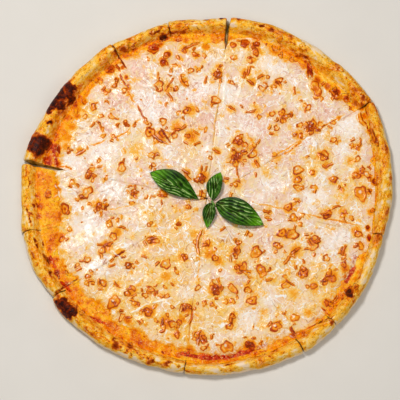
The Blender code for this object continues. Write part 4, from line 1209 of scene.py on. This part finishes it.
def crust_rows(plan, outer, crest):
    """The crust's section for all columns at once: distance and height, from the apex round to the table."""
    foot = plan.foot
    crest_in = (outer - foot) * RIM_CREST_SHARE
    curl = crest_in * RIM_UNDERCUT_SHARE
    belly = crest * RIM_BELLY_SHARE
    crest_at = outer - crest_in
    rows = [(foot * share, DOUGH_TOP + 0.0 * foot) for share in np.linspace(0.0, 1.0, FLAT_ROWS + 1)[:-1]]
    for step in range(SLOPE_ROWS, 0, -1):
        share = step / SLOPE_ROWS
        fall = 0.5 + 0.5 * math.cos(math.pi * share ** RIM_SLOPE_EASE)
        rows.append((crest_at - (crest_at - foot) * share, DOUGH_TOP + (crest - DOUGH_TOP) * fall))
    for step in range(SHOULDER_ROWS, 0, -1):
        turn = math.pi / 2.0 * (1.0 - step / SHOULDER_ROWS)
        rows.append((crest_at + crest_in * math.sin(turn), belly + (crest - belly) * math.cos(turn)))
    for step in range(UNDER_ROWS, -1, -1):
        turn = math.pi / 2.0 * step / UNDER_ROWS
        rows.append((outer - curl + curl * math.sin(turn), belly - belly * math.cos(turn)))
    return np.array([row[0] for row in rows]), np.array([row[1] for row in rows])


def build_crust(index, material):
    """The dough of one slice: flat under the sauce, with a puffed rim and holes in its cut faces."""
    plan = slice_plan(index, CRUST_COLUMN)
    distance, height = crust_rows(plan, plan.outer - 0.1, plan.crest - 0.5)
    rows = distance.shape[0]
    foot_row = FLAT_ROWS
    crest_row = foot_row + SLOPE_ROWS
    belly_row = crest_row + SHOULDER_ROWS
    out = np.gradient(distance, axis=0)
    up = np.gradient(height, axis=0)
    size = np.hypot(out, up) + 1e-9
    steps = np.hypot(np.diff(distance, axis=0), np.diff(height, axis=0))
    down = np.vstack([np.zeros((1, distance.shape[1])), np.cumsum(steps, axis=0)])
    down = down - down[crest_row][None, :]
    round_way = np.radians(round_angle(plan))[None, :] * RIM_RADIUS + 0.0 * down

    def rim_noise(squeeze, scale, seed, layers):
        """Noise over the rim, its features squeezed across the rim."""
        return layered_noise(round_way, down * squeeze, scale, seed, layers)

    def closing(side, along):
        share = 0.0 if SLICES[cut_of(plan, side)].gap > WIDE_GAP else 0.5
        return share * half_gap(plan, side, along)

    def closing_below(side, along):
        return half_gap(plan, side, along) - DOUGH_SLIT

    x, y = plan_places(plan, distance, closing)
    px, py = pixel_of(x, y, height)
    number = np.arange(rows)[:, None]
    rim = smoothstep(foot_row, foot_row + 6, number) * smoothstep(rows - 1, rows - 6, number)
    relief = (0.85 * rim_noise(1.0, 17.0, 200, 2) + 0.55 * rim_noise(1.0, 6.0, 210, 3)
              + 0.16 * rim_noise(1.0, 1.9, 220, 2) + read_map("spots", px, py))
    for side in (0, 1):
        relief -= 0.9 * np.clip(1.0 - from_side(plan, side, distance) / 1.6, 0.0, 1.0) ** 2
    # The relief keeps inside the frame's box.
    place = in_frame(x, y, height)
    room = np.minimum(np.array(cad_high) - place, place - np.array(cad_low))
    room = np.minimum(np.minimum(room[..., 0], room[..., 1]), cad_high.z - place[..., 2]) / MM
    relief = np.minimum(np.minimum(rim * relief, 1.3), room - 0.15)
    distance = distance - up / size * relief
    height = np.maximum(height + out / size * relief, 0.0)
    height[-1] = 0.0

    # Browning: golden on top, browned round the foot, with a ring of toasting below the crest.
    top_side = smoothstep(crest_row + 14, crest_row + 5, number)
    inner = smoothstep(crest_row - 2, foot_row + 3, number)
    low_slope = smoothstep(crest_row - 2, foot_row + 9, number)
    tone = rim_noise(1.4, 15.0, 230, 3)
    fine = rim_noise(1.4, 5.0, 240, 3)
    streaks = rim_noise(2.0, 9.0, 245, 3)
    ring_at = 7.0 + 2.5 * rim_noise(0.0, 13.0, 255, 2)
    ring = np.exp(-((down - ring_at) / 2.4) ** 2) * smoothstep(-0.5, 0.4, tone)
    bake = (0.08 + 0.20 * ring
            + top_side * (0.24 + 0.32 * tone + 0.20 * fine + 0.14 * streaks + 0.16 * inner))
    bake = bake * (1.0 - 0.75 * read_map("pale", px, py) * smoothstep(-0.5, 0.3, fine))
    bake = np.maximum(bake, top_side * 0.64 * smoothstep(0.30, 0.75, rim_noise(1.5, 7.0, 250, 3)))
    reach = EDGE_BROWNINGS[index]
    banded = smoothstep(foot_row + 4 + 10 * reach, foot_row + 1 + 4 * reach, number)
    bake = bake + (band_browning(x, y) - bake) * banded
    ragged = smoothstep(belly_row + 5, belly_row - 1, number + 3.5 * rim_noise(0.0, 3.0, 265, 2))
    marks = {"bake": np.maximum(bake, read_map("bake", px, py) * ragged),
             "stain": 0.5 * inner * smoothstep(-0.2, 0.5, rim_noise(1.0, 8.0, 260, 2)),
             "red": read_map("red", px, py) * low_slope, "crumb": 0.0 * bake,
             "shape": read_map("shape", px, py) * top_side, "around": round_way, "down": down}
    x, y = plan_places(plan, distance, closing)
    corners = []
    for side, column in ((0, 0), (1, -1)):
        foot = plan.foot[column]
        beyond = np.clip((number[:, 0] - foot_row) / (rows - 1 - foot_row), 0.0, 1.0)
        along = np.minimum(distance[:, column], foot)
        along = np.where(number[:, 0] > foot_row, foot + (distance[-1, column] - foot) * beyond, along)
        corners.append(in_frame(*corner_places(plan, side, along, closing_below), 0.0 * along))

    # The cut faces take the crumb colour, darkened as painted shade, up to just below their top edge.
    def wall_marks(name, values, rise):
        return values + smoothstep(1.0, 0.85, rise) if name == "crumb" else values

    def wall_dent(place, rise, side):
        along = np.hypot(place[:, 0], place[:, 1]) / MM
        holes = layered_noise(along, place[:, 2] / MM + 40.0 * side, 3.2, 270 + index, 2)
        return 0.10 + 0.40 * smoothstep(0.1, 0.6, holes)

    return wedge(f"baked_crust_{index + 1:02d}", plan, in_frame(x, y, height), corners, 8, marks, wall_marks,
                 material, wall_dent)


# ---------------- basil
def build_leaf(leaf, material):
    """A pointed leaf that arches along its length, folds along its middle rib and puckers between veins."""
    base = np.array(leaf.base)
    line = np.array(leaf.tip) - base
    length = float(np.linalg.norm(line))
    along = line / length
    left = np.array([-along[1], along[0]])
    share = np.linspace(0.0, 1.0, LEAF_ROWS + 1)[:, None]
    across = np.linspace(-1.0, 1.0, LEAF_COLUMNS + 1)[None, :]
    side = np.abs(across)
    width = np.maximum(np.sin(np.pi * share ** (math.log(0.5) / math.log(leaf.widest))), 0.0) ** 0.85
    width = np.maximum(width, 0.02)
    half = np.where(across > 0.0, leaf.left, leaf.right)
    off = across * half * width
    x = base[0] + line[0] * share + left[0] * off
    y = base[1] + line[1] * share + left[1] * off
    rise = leaf.fold * width * (1.0 - (1.0 - side) ** 2)
    z = LEAF_BOTTOM + 0.45 + leaf.arch * np.sin(np.pi * share) + leaf.tip_rise * share ** 2 + rise
    drift = 0.60 * layered_noise(off + 30.0, share * length, 11.0, 640 + int(length), 2)
    phase = LEAF_VEINS * (share - 1.35 * side ** 1.1 * width) + 0.15 + drift
    pucker = np.abs(np.sin(np.pi * phase))
    inside = smoothstep(1.0, 0.75, side) * smoothstep(0.0, 0.08, share) * smoothstep(1.0, 0.9, share)
    rib = np.exp(-(side * half * width / 0.55) ** 2)
    z = z + inside * (0.60 * (pucker ** 0.7 - 0.5) * smoothstep(0.03, 0.25, side) - 0.25 * rib
                      + 0.5 * layered_noise(off + 60.0, share * length, 9.0, 600 + int(length), 2))
    marks = {"vein": np.maximum(rib, 0.8 * inside * smoothstep(0.22, 0.02, pucker)),
             "across": across + 0.0 * share, "along": share + 0.0 * across, "pucker": pucker * inside,
             "phase": phase}
    piece = grid_of(f"fresh_{leaf.name}", in_frame(x, y, z), marks)
    bpy.ops.mesh.normals_make_consistent(inside=False)
    bpy.ops.object.mode_set(mode="OBJECT")
    thick = piece.modifiers.new("thickness", "SOLIDIFY")
    thick.thickness = LEAF_THICKNESS * MM
    thick.offset = 0.0
    bpy.ops.object.modifier_apply(modifier="thickness")
    bpy.ops.object.shade_smooth_by_angle(angle=math.radians(LEAF_SMOOTHING))
    piece.data.materials.append(material)
    return piece


def build_stem(material):
    """The short stalk, a round bar with rounded ends between the leaf pairs."""
    x = (STEM_START[0] + STEM_END[0]) / 2.0
    y = (STEM_START[1] + STEM_END[1]) / 2.0
    right = STEM_END[0] - STEM_START[0]
    up = (STEM_END[1] - STEM_START[1]) * DEPTH_STRETCH
    place = in_frame(np.array(x), np.array(y), np.array(LEAF_BOTTOM + STEM_RADIUS))
    select_none()
    bpy.ops.mesh.primitive_cylinder_add(
        vertices=24, radius=STEM_RADIUS * MM, depth=math.hypot(right, up) * MM,
        rotation=(0.0, math.pi / 2.0, math.atan2(up, right)), location=tuple(place))
    stem = bpy.context.active_object
    stem.name = "basil_stalk"
    bpy.ops.object.mode_set(mode="EDIT")
    bpy.ops.mesh.select_all(action="SELECT")
    bpy.ops.mesh.bevel(offset=STEM_ROUNDING * MM, segments=3)
    bpy.ops.object.mode_set(mode="OBJECT")
    bpy.ops.object.transform_apply(location=True, rotation=True, scale=True)
    bpy.ops.object.shade_smooth_by_angle(angle=math.radians(STEM_SMOOTHING))
    stem.data.materials.append(material)
    return stem


# ---------------- materials
def linear(hex_colour):
    """An sRGB hex colour as linear RGBA."""
    channels = [int(hex_colour[start:start + 2], 16) / 255.0 for start in (1, 3, 5)]
    return tuple(c / 12.92 if c <= 0.04045 else ((c + 0.055) / 1.055) ** 2.4 for c in channels) + (1.0,)


def noise_scale(size):
    """The scale at which a noise's features are about that many millimetres across."""
    return 1.0 / (size * MM)


# Kinds of node: Blender's name, its settings, inputs with a set value, inputs in a call's order, the output.
Kind = namedtuple("Kind", "type settings fixed inputs output")
PLACE = Kind("ShaderNodeTexCoord", {}, {}, (), "Object")
MARK = Kind("ShaderNodeAttribute", {}, {}, (), "Fac")
HEIGHT = Kind("ShaderNodeSeparateXYZ", {}, {}, ("Vector",), "Z")
FLAT_PLACE = Kind("ShaderNodeCombineXYZ", {}, {}, ("X", "Y"), "Vector")
GRAIN = Kind("ShaderNodeTexNoise", {}, {"Roughness": 0.6}, ("Vector", "Scale", "Detail"), "Fac")
# Stretched, swirling features, as melted cheese flows.
FLOW = Kind("ShaderNodeTexNoise", {}, {"Detail": 1.0, "Roughness": 0.5},
            ("Vector", "Scale", "Distortion"), "Fac")
RANGE = Kind("ShaderNodeMapRange", {"clamp": True}, {},
             ("Value", "From Min", "From Max", "To Min", "To Max"), "Result")
BLEND = Kind("ShaderNodeMix", {"data_type": "RGBA"}, {}, (0, 6, 7), 2)
SHADE = Kind("ShaderNodeMix", {"data_type": "RGBA", "blend_type": "MULTIPLY"}, {}, (0, 6, 7), 2)
RAMP = Kind("ShaderNodeValToRGB", {}, {}, ("Fac",), "Color")
BUMP = Kind("ShaderNodeBump", {}, {}, ("Strength", "Distance", "Height"), "Normal")
ADD, SUBTRACT, MULTIPLY, LARGER, SMALLER, POWER, ABSOLUTE, FRACTION = [
    Kind("ShaderNodeMath", {"operation": operation}, {}, (0, 1), 0) for operation in
    ("ADD", "SUBTRACT", "MULTIPLY", "MAXIMUM", "MINIMUM", "POWER", "ABSOLUTE", "FRACT")]
BARE_SAUCE = ("#AA1200", "#E24A02")


def connect(tree, node, inputs):
    """Links each input to a socket, or sets it to a value or a hex colour."""
    for name, value in inputs.items():
        if isinstance(value, bpy.types.NodeSocket):
            tree.links.new(value, node.inputs[name])
        else:
            node.inputs[name].default_value = linear(value) if isinstance(value, str) else value


def add_node(tree, kind, *inputs, stops=(), **settings):
    """Adds a node of a kind with its settings, links and colour stops, and gives its output."""
    node = tree.nodes.new(kind.type)
    for name, value in {**kind.settings, **settings}.items():
        setattr(node, name, value)
    connect(tree, node, {**kind.fixed, **dict(zip(kind.inputs, inputs))})
    if stops:
        elements = node.color_ramp.elements
        elements.remove(elements[1])
        elements[0].position, elements[0].color = stops[0][0], linear(stops[0][1])
        for position, colour in stops[1:]:
            elements.new(position).color = linear(colour)
    return node.outputs[kind.output]


def new_material(name):
    """A material, and add_node for its nodes."""
    material = bpy.data.materials.new(name)
    material.use_nodes = True
    return material, partial(add_node, material.node_tree)


def surfaced(material, surface):
    """The material, with the inputs of its surface linked or set."""
    tree = material.node_tree
    connect(tree, tree.nodes["Principled BSDF"], surface)
    return material


def thin_line(add, value, middle, half_width):
    """1 where a value passes its middle, 0 further off than its half width."""
    away = add(ABSOLUTE, add(SUBTRACT, value, middle))
    return add(RANGE, away, half_width * 0.35, half_width, 1.0, 0.0)


def inside_edge(add, shape):
    """Strongest just inside a sharp outline, fading inwards."""
    return add(MULTIPLY, add(RANGE, shape, 0.45, 0.51), add(RANGE, shape, 0.50, 0.84, 0.24, 0.0))


def mottled(add, level, *noises):
    """A level with noises added, each by its amount about its middle."""
    for noise, amount in noises:
        level = add(ADD, level, add(MULTIPLY, add(SUBTRACT, noise, 0.5), amount))
    return level


def summed(add, *parts):
    """Values added up, each by its amount."""
    total = 0.0
    for value, amount in parts:
        total = add(ADD, total, add(MULTIPLY, value, amount))
    return total


def laid_over(add, colour, *layers):
    """A colour with others laid over it, each by its share."""
    for share, other in layers:
        colour = add(BLEND, share, colour, other)
    return colour


def melted_cheese():
    """Melted low-moisture cheese: milky and slightly see-through, wet with fat, browned on its blisters."""
    material, add = new_material("melted_cheese")
    place = add(PLACE)
    bake, cavity, gleam_highlight, lie, strand, white, warm, blush, red, shape, under_shape = [
        add(MARK, attribute_name=name) for name in
        ("bake", "cavity", "gleam", "lie", "strand", "white", "warm", "blush", "red", "shape", "under_shape")]
    fine = add(GRAIN, place, noise_scale(1.5), 2.0)
    middle = add(GRAIN, place, noise_scale(3.2), 4.0)
    broad = add(GRAIN, place, noise_scale(8.0), 3.0)
    strands = add(FLOW, place, noise_scale(5.0), 1.6)
    threads = add(FLOW, place, noise_scale(9.0), 1.0)
    tint = add(FLOW, place, noise_scale(7.0), 1.2)
    stroke = add(FLOW, place, noise_scale(4.2), 2.2)

    # Milky cheese, tinted by its fat, with creases and half melted shreds: painted shade along each shred's
    # dark side, painted highlights along its lit side, along thin threads and on the gleam spots.
    lift = add(ADD, add(RANGE, broad, 0.38, 0.62, -0.15, 0.45), white)
    # Whiter where the strands rise in the bump: painted light on the relief.
    lift = add(ADD, lift, add(RANGE, strands, 0.35, 0.65, -0.25, 0.35))
    milk = add(BLEND, add(RANGE, lift, 0.0, 1.0), "#F2D5B8", "#FFF6EE")
    dull = add(RANGE, white, 0.10, 0.60, 0.55, 0.15)
    creamy = add(MULTIPLY, add(RANGE, tint, 0.52, 0.62), dull)
    rosy = add(MULTIPLY, add(RANGE, tint, 0.47, 0.38), dull)
    oily = add(MULTIPLY, warm, add(RANGE, broad, 0.35, 0.6, 0.35, 0.95))
    # Pinker where the strands sink into hollows: painted shade, partly sauce showing through thin cheese.
    pink = add(SMALLER, add(MULTIPLY, add(RANGE, strands, 0.56, 0.42), blush), 0.9)
    gold = add(SMALLER, add(MULTIPLY, add(RANGE, stroke, 0.54, 0.64), add(ADD, warm, 0.12)), 0.9)
    rose = add(SMALLER, add(MULTIPLY, add(RANGE, stroke, 0.45, 0.36), add(ADD, blush, 0.12)), 0.8)
    # Painted shade: a darker line along each shred's side away from the light.
    shade_seam = add(MULTIPLY, thin_line(add, lie, 0.10, 0.16), strand)
    shade_seam_colour = add(BLEND, add(RANGE, warm, 0.0, 0.6), "#A87056", "#C87414")
    crease = add(MULTIPLY, thin_line(add, threads, 0.46, 0.020), add(RANGE, broad, 0.44, 0.56))
    # Painted highlights: white lines along each shred's lit side and along thin threads.
    ridge = add(MULTIPLY, thin_line(add, lie, 0.74, 0.18), strand)
    ridge = add(LARGER, ridge, thin_line(add, threads, 0.56, 0.022))
    milk = laid_over(add, milk, (creamy, "#F9E29C"), (rosy, "#F4D2C6"), (oily, "#FBCC62"), (pink, "#EDBDAC"),
                     (gold, "#F8B43A"), (rose, "#E8AE9C"), (shade_seam, shade_seam_colour),
                     (add(MULTIPLY, crease, 0.7), "#C07038"), (add(MULTIPLY, ridge, 0.95), "#FFFFFF"),
                     (add(RANGE, gleam_highlight, 0.2, 0.7, 0.0, 0.95), "#FFFFFF"))

    # Browning on top of it, darkest just inside each blister's outline.
    edge = add(LARGER, inside_edge(add, shape), inside_edge(add, under_shape))
    edge = add(MULTIPLY, edge, add(RANGE, bake, 0.14, 0.30))
    level = add(ADD, mottled(add, bake, (fine, 0.12), (stroke, 0.30)), edge)
    toasted = add(RAMP, level, stops=(
        (0.00, "#FCDF88"), (0.20, "#FDC438"), (0.34, "#FAA210"), (0.48, "#E87200"), (0.62, "#BC3E00"),
        (0.76, "#801E00"), (0.88, "#480E00"), (1.00, "#200600")))
    colour = add(BLEND, add(RANGE, level, 0.09, 0.32), milk, toasted)
    line = add(LARGER, thin_line(add, shape, 0.5, 0.13), thin_line(add, under_shape, 0.5, 0.11))
    line = add(MULTIPLY, line, add(RANGE, bake, 0.16, 0.34))
    line = add(MULTIPLY, line, add(RANGE, middle, 0.44, 0.55, 0.10, 0.95))
    scorched = add(BLEND, add(RANGE, bake, 0.34, 0.66), "#A44A04", "#6A1C00")
    # Painted highlight from the gleam map, fading where the browning is darkest.
    glint = add(MULTIPLY, add(RANGE, gleam_highlight, 0.45, 0.85, 0.0, 0.85), add(RANGE, level, 0.75, 0.55))
    reddened = add(MULTIPLY, red, add(RANGE, stroke, 0.42, 0.56, 0.1, 0.95))
    bare = add(BLEND, add(RANGE, strands, 0.42, 0.60), *BARE_SAUCE)
    colour = laid_over(add, colour, (line, scorched), (glint, "#FFF6DC"), (reddened, bare))
    # Darkened towards tan in the hollows: painted shade, partly fat showing through thin cheese.
    shade = add(BLEND, add(RANGE, cavity, 0.08, 0.45, 0.0, 0.6), "#FFFFFF", "#C98A5E")
    colour = add(SHADE, 1.0, colour, shade)

    # Relief too fine for the mesh: strands, rounded shreds and the step at each outline.
    hollow = add(POWER, add(SUBTRACT, add(MULTIPLY, lie, 2.0), 1.0), 2.0)
    rounding = add(MULTIPLY, add(SUBTRACT, 1.0, hollow), strand)
    step = add(MULTIPLY, add(RANGE, shape, 0.42, 0.66), add(RANGE, bake, 0.2, 0.4))
    rough = summed(add, (fine, 0.03), (strands, 1.0), (stroke, 0.35), (rounding, 0.45), (step, 0.45))
    rough = add(MULTIPLY, rough, add(RANGE, broad, 0.42, 0.58, 0.20, 1.2))
    return surfaced(material, {
        "Base Color": colour, "Roughness": add(RANGE, middle, 0.35, 0.65, 0.13, 0.30),
        "Normal": add(BUMP, 0.6, 1.0 * MM, rough), "IOR": 1.46, "Specular IOR Level": 0.16,
        "Coat Weight": 0.12, "Coat Roughness": 0.08, "Subsurface Weight": 0.05,
        "Subsurface Radius": (1.0, 0.6, 0.35), "Subsurface Scale": 1.0 * MM})


def tomato_sauce():
    """Baked tomato sauce with cheese fat on it: orange and oily, deep red where it is bare."""
    material, add = new_material("tomato_sauce")
    place = add(PLACE)
    bake, milk, red, shape = [add(MARK, attribute_name=name) for name in ("bake", "milk", "red", "shape")]
    fine = add(GRAIN, place, noise_scale(1.3), 4.0)
    middle = add(GRAIN, place, noise_scale(3.0), 4.0)
    strands = add(FLOW, place, noise_scale(3.6), 1.6)
    speckle = mottled(add, 0.0, (fine, 0.25), (strands, 0.40))
    oily = add(RAMP, add(ADD, bake, speckle), stops=(
        (0.00, "#FFDC70"), (0.20, "#FFC628"), (0.34, "#FFA800"), (0.48, "#F07A00"), (0.62, "#BE3A00"),
        (0.76, "#861800"), (0.88, "#480E00"), (1.00, "#200600")))
    milky = add(RANGE, add(ADD, milk, speckle), 0.20, 0.65)
    cover = add(RANGE, add(ADD, red, speckle), 0.22, 0.62)
    tomato = add(BLEND, add(RANGE, strands, 0.40, 0.62), "#A81000", "#E24A00")
    line = add(MULTIPLY, thin_line(add, shape, 0.5, 0.11), add(RANGE, middle, 0.36, 0.56, 0.2, 0.9))
    ripple = add(MULTIPLY, thin_line(add, strands, 0.45, 0.035), add(RANGE, middle, 0.44, 0.56, 0.0, 0.8))
    # Painted highlights: thin pale yellow lines along the sauce's strands.
    shine_highlight = add(MULTIPLY, thin_line(add, strands, 0.57, 0.030), add(RANGE, middle, 0.54, 0.44, 0.0, 0.8))
    colour = laid_over(add, oily, (milky, "#F6E4D2"), (cover, tomato), (line, "#7A2000"), (ripple, "#A83C00"),
                       (shine_highlight, "#FFE08A"))
    rough = summed(add, (fine, 0.5), (strands, 1.0))
    return surfaced(material, {
        "Base Color": colour, "Roughness": 0.24, "Normal": add(BUMP, 0.6, 1.0 * MM, rough),
        "IOR": 1.40, "Specular IOR Level": 0.12})


def baked_crust():
    """Oven-baked wheat dough: matt, golden on top, floury on its outer side, with charred blisters."""
    material, add = new_material("baked_crust")
    place = add(PLACE)
    bake, stain, red, crumb, around, down, shape = [
        add(MARK, attribute_name=name) for name in
        ("bake", "stain", "red", "crumb", "around", "down", "shape")]
    fine = add(GRAIN, place, noise_scale(1.2), 4.0)
    middle = add(GRAIN, place, noise_scale(3.5), 4.0)
    # The rim's strands run round it: its noises are squeezed across the rim.
    along_rim = add(FLAT_PLACE, add(MULTIPLY, around, MM), add(MULTIPLY, down, 1.7 * MM))
    strands = add(FLOW, along_rim, noise_scale(8.0), 0.8)
    hairs = add(FLOW, along_rim, noise_scale(4.2), 1.6)
    speckle = mottled(add, 0.0, (middle, 0.30), (fine, 0.08), (strands, 0.55))
    speckle = add(MULTIPLY, speckle, add(RANGE, bake, 0.55, 0.85, 1.0, 0.12))
    dough = add(RAMP, add(ADD, bake, speckle), stops=(
        (0.00, "#FAE0C8"), (0.10, "#FBDDB4"), (0.20, "#FFCC54"), (0.34, "#FFB414"), (0.48, "#F88C00"),
        (0.61, "#C25000"), (0.72, "#7A2200"), (0.82, "#3C120A"), (1.00, "#261214")))
    crack = add(MULTIPLY, thin_line(add, hairs, 0.46, 0.045), add(RANGE, middle, 0.44, 0.55))
    crack = add(MULTIPLY, add(MULTIPLY, crack, add(RANGE, bake, 0.12, 0.26)), 0.9)
    # Painted highlights: thin pale lines along the rim's strands, left off where it is charred.
    shine_highlight = add(MULTIPLY, thin_line(add, hairs, 0.54, 0.040), add(RANGE, middle, 0.56, 0.44))
    shine_highlight = add(MULTIPLY, shine_highlight, add(RANGE, bake, 0.64, 0.50, 0.0, 0.75))
    stained = add(MULTIPLY, stain, add(RANGE, middle, 0.35, 0.62))
    oil = add(BLEND, add(RANGE, fine, 0.4, 0.6), "#F29A1C", "#DC6A10")
    reddened = add(MULTIPLY, red, add(RANGE, hairs, 0.42, 0.56, 0.2, 0.95))
    bare = add(BLEND, add(RANGE, strands, 0.42, 0.60), *BARE_SAUCE)
    line = add(MULTIPLY, thin_line(add, shape, 0.5, 0.11), add(RANGE, middle, 0.36, 0.58))
    # The cut faces' crumb, darkened to olive brown as painted shade for the narrow gaps.
    inside = add(BLEND, add(RANGE, middle, 0.40, 0.60), "#CCA244", "#7A5A12")
    toasted = add(RANGE, add(GRAIN, place, noise_scale(9.0), 4.0), 0.52, 0.64)
    underside = add(BLEND, toasted, "#E9D2A4", "#96602B")
    low = add(RANGE, add(HEIGHT, place), 0.7 * MM, 0.2 * MM)
    colour = laid_over(add, dough, (crack, "#8E3200"), (shine_highlight, "#FFE9A8"), (stained, oil), (reddened, bare),
                       (add(MULTIPLY, line, 0.7), "#7A2806"), (crumb, inside), (low, underside))
    rough = summed(add, (fine, 0.15), (strands, 0.6), (hairs, 0.4))
    rough = add(MULTIPLY, rough, add(RANGE, bake, 0.60, 0.82, 1.0, 0.25))
    return surfaced(material, {
        "Base Color": colour, "Roughness": add(RANGE, middle, 0.35, 0.65, 0.38, 0.58),
        "Normal": add(BUMP, 0.9, 1.0 * MM, rough), "IOR": 1.47, "Specular IOR Level": 0.07})


def fresh_basil():
    """Fresh basil leaf: waxy, with pale veins; lighter on the puckers and darker in the folds as painted
    light and shade, and with painted highlights along the pucker crests.
    """
    material, add = new_material("fresh_basil_leaf")
    place = add(PLACE)
    vein, pucker, along, half, phase = [
        add(MARK, attribute_name=name) for name in ("vein", "pucker", "along", "across", "phase")]
    patch = add(GRAIN, place, noise_scale(5.0), 3.0)
    fine = add(GRAIN, place, noise_scale(0.9), 3.0)
    across = add(ABSOLUTE, half)
    bronze = add(RANGE, add(GRAIN, place, noise_scale(8.0), 2.0), 0.50, 0.60, 0.0, 0.6)
    bronze = add(MULTIPLY, bronze, add(RANGE, across, 0.7, 0.2))
    # Painted highlights: thin pale lines along the puckers' crests, stronger on the leaf's lit half.
    crest = add(MULTIPLY, thin_line(add, add(FRACTION, phase), 0.60, 0.11), add(RANGE, pucker, 0.3, 0.8))
    crest = add(MULTIPLY, crest, add(RANGE, patch, 0.44, 0.58))
    crest = add(MULTIPLY, crest, add(RANGE, half, -0.45, 0.10, 0.15, 1.0))
    body = add(BLEND, add(RANGE, patch, 0.42, 0.58), "#0A2200", "#2C6000")
    # The puckers are painted lighter and the folds darker: painted light and shade over the leaf's relief.
    colour = laid_over(add, body, (bronze, "#3C2E08"),
                       (add(RANGE, pucker, 0.70, 1.0, 0.0, 0.45), "#4C8A0C"),
                       (add(RANGE, along, 0.66, 0.92, 0.0, 0.8), "#66B000"),
                       (add(RANGE, across, 0.80, 1.0, 0.0, 0.6), "#6FA424"),
                       (add(RANGE, pucker, 0.55, 0.10, 0.0, 0.75), "#081A00"),
                       (crest, "#D0E89C"), (add(RANGE, vein, 0.60, 1.0, 0.0, 0.5), "#A9C674"))
    return surfaced(material, {
        "Base Color": colour, "Roughness": 0.34, "Normal": add(BUMP, 0.25, 0.2 * MM, fine),
        "IOR": 1.42, "Specular IOR Level": 0.12})


def basil_stalk():
    """Basil stalk: pale, juicy green, mottled along its length."""
    material, add = new_material("basil_stalk")
    mottle = add(GRAIN, add(PLACE), noise_scale(1.4), 3.0)
    colour = add(BLEND, add(RANGE, mottle, 0.4, 0.6), "#3F6E14", "#6FA030")
    return surfaced(material, {"Base Color": colour, "Roughness": 0.35})


def studio_floor():
    """Matt pale board paper."""
    material, add = new_material("studio_floor")
    mottle = add(GRAIN, add(PLACE), noise_scale(60.0), 2.0)
    return surfaced(material, {"Base Color": add(BLEND, mottle, "#DDDBD7", "#E4E2DE"), "Roughness": 0.8})


# ---------------- stage
# The lights: name, place and width in metres, watts and colour.
LIGHTS = (
    ("key", (-0.36, 0.40, 1.40), 0.36, 13.3, (1.0, 0.965, 0.92)),
    ("fill", (0.50, -0.60, 1.30), 0.90, 3.0, (1.0, 0.955, 0.90)),
)
FLOOR_SIZE = 6.0                # metres
FLOOR_DROP = 0.0002             # so that the floor and the pizza's underside don't flicker
SKY_COLOUR = (1.0, 0.95, 0.88, 1.0)
SKY_STRENGTH = 0.32


def point_at(obj, target):
    """Turns a camera or a light towards a place."""
    obj.rotation_euler = (Vector(target) - obj.location).to_track_quat("-Z", "Y").to_euler()


def build_camera():
    """Looks down from a little below the round, as the photograph does."""
    data = bpy.data.cameras.new("camera")
    camera = bpy.data.objects.new("camera", data)
    bpy.context.scene.collection.objects.link(camera)
    x = (IMAGE_MIDDLE_PX[0] - PLAN_MIDDLE_PX[0]) * MM_PER_PX
    y = (PLAN_MIDDLE_PX[1] - IMAGE_MIDDLE_PX[1]) * MM_PER_PX
    target = Vector(in_frame(np.array(x), np.array(y), np.array(CHEESE_LEVEL)))
    rise = math.radians(VIEW_ELEVATION)
    camera.location = target + Vector((0.0, -math.cos(rise), math.sin(rise))) * VIEW_DISTANCE * MM
    point_at(camera, target)
    data.sensor_width = SENSOR
    data.lens = SENSOR * VIEW_DISTANCE / (IMAGE_SIDE_PX * MM_PER_PX)
    data.clip_start = CLIP_START
    data.clip_end = CLIP_END
    bpy.context.scene.camera = camera


def add_light(name, place, size, watts, colour):
    """A round area light that looks at the pizza."""
    data = bpy.data.lights.new(name, "AREA")
    data.shape = "DISK"
    data.size = size
    data.energy = watts
    data.color = colour
    light = bpy.data.objects.new(name, data)
    bpy.context.scene.collection.objects.link(light)
    light.location = place
    light.visible_camera = False
    point_at(light, (0.0, 0.0, 0.0))


def build_stage():
    """The floor, the even light all round and the two lights."""
    select_none()
    bpy.ops.mesh.primitive_plane_add(size=FLOOR_SIZE, location=(0.0, 0.0, -FLOOR_DROP))
    floor = bpy.context.active_object
    floor.name = "floor"
    floor.data.materials.append(studio_floor())
    world = bpy.data.worlds.new("studio")
    world.use_nodes = True
    sky = world.node_tree.nodes["Background"]
    connect(world.node_tree, sky, {"Color": SKY_COLOUR, "Strength": SKY_STRENGTH})
    bpy.context.scene.world = world
    for light in LIGHTS:
        add_light(*light)
    bpy.context.scene.view_settings.view_transform = "Standard"


# ---------------- all together
def place_piece(piece, node, finish):
    """Puts a piece under the root body and hides the frame's node that it replaces; the finish is not used.
    """
    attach(piece, "root")
    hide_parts(node)


def main():
    """Draws the maps, builds each slice's layers and the sprig, and sets up the camera and the stage."""
    draw_maps()
    layers = ((build_crust, baked_crust(), "crust"), (build_sauce, tomato_sauce(), "sauce"),
              (build_cheese, melted_cheese(), "cheese"))
    leaf_green = fresh_basil()
    for index in range(len(SLICES)):
        for build, material, finish in layers:
            place_piece(build(index, material), f"{finish}_{index + 1:02d}", finish)
    for leaf in LEAVES:
        place_piece(build_leaf(leaf, leaf_green), leaf.name, "basil")
    place_piece(build_stem(basil_stalk()), "basil_stem", "basil")
    build_camera()
    build_stage()


main()
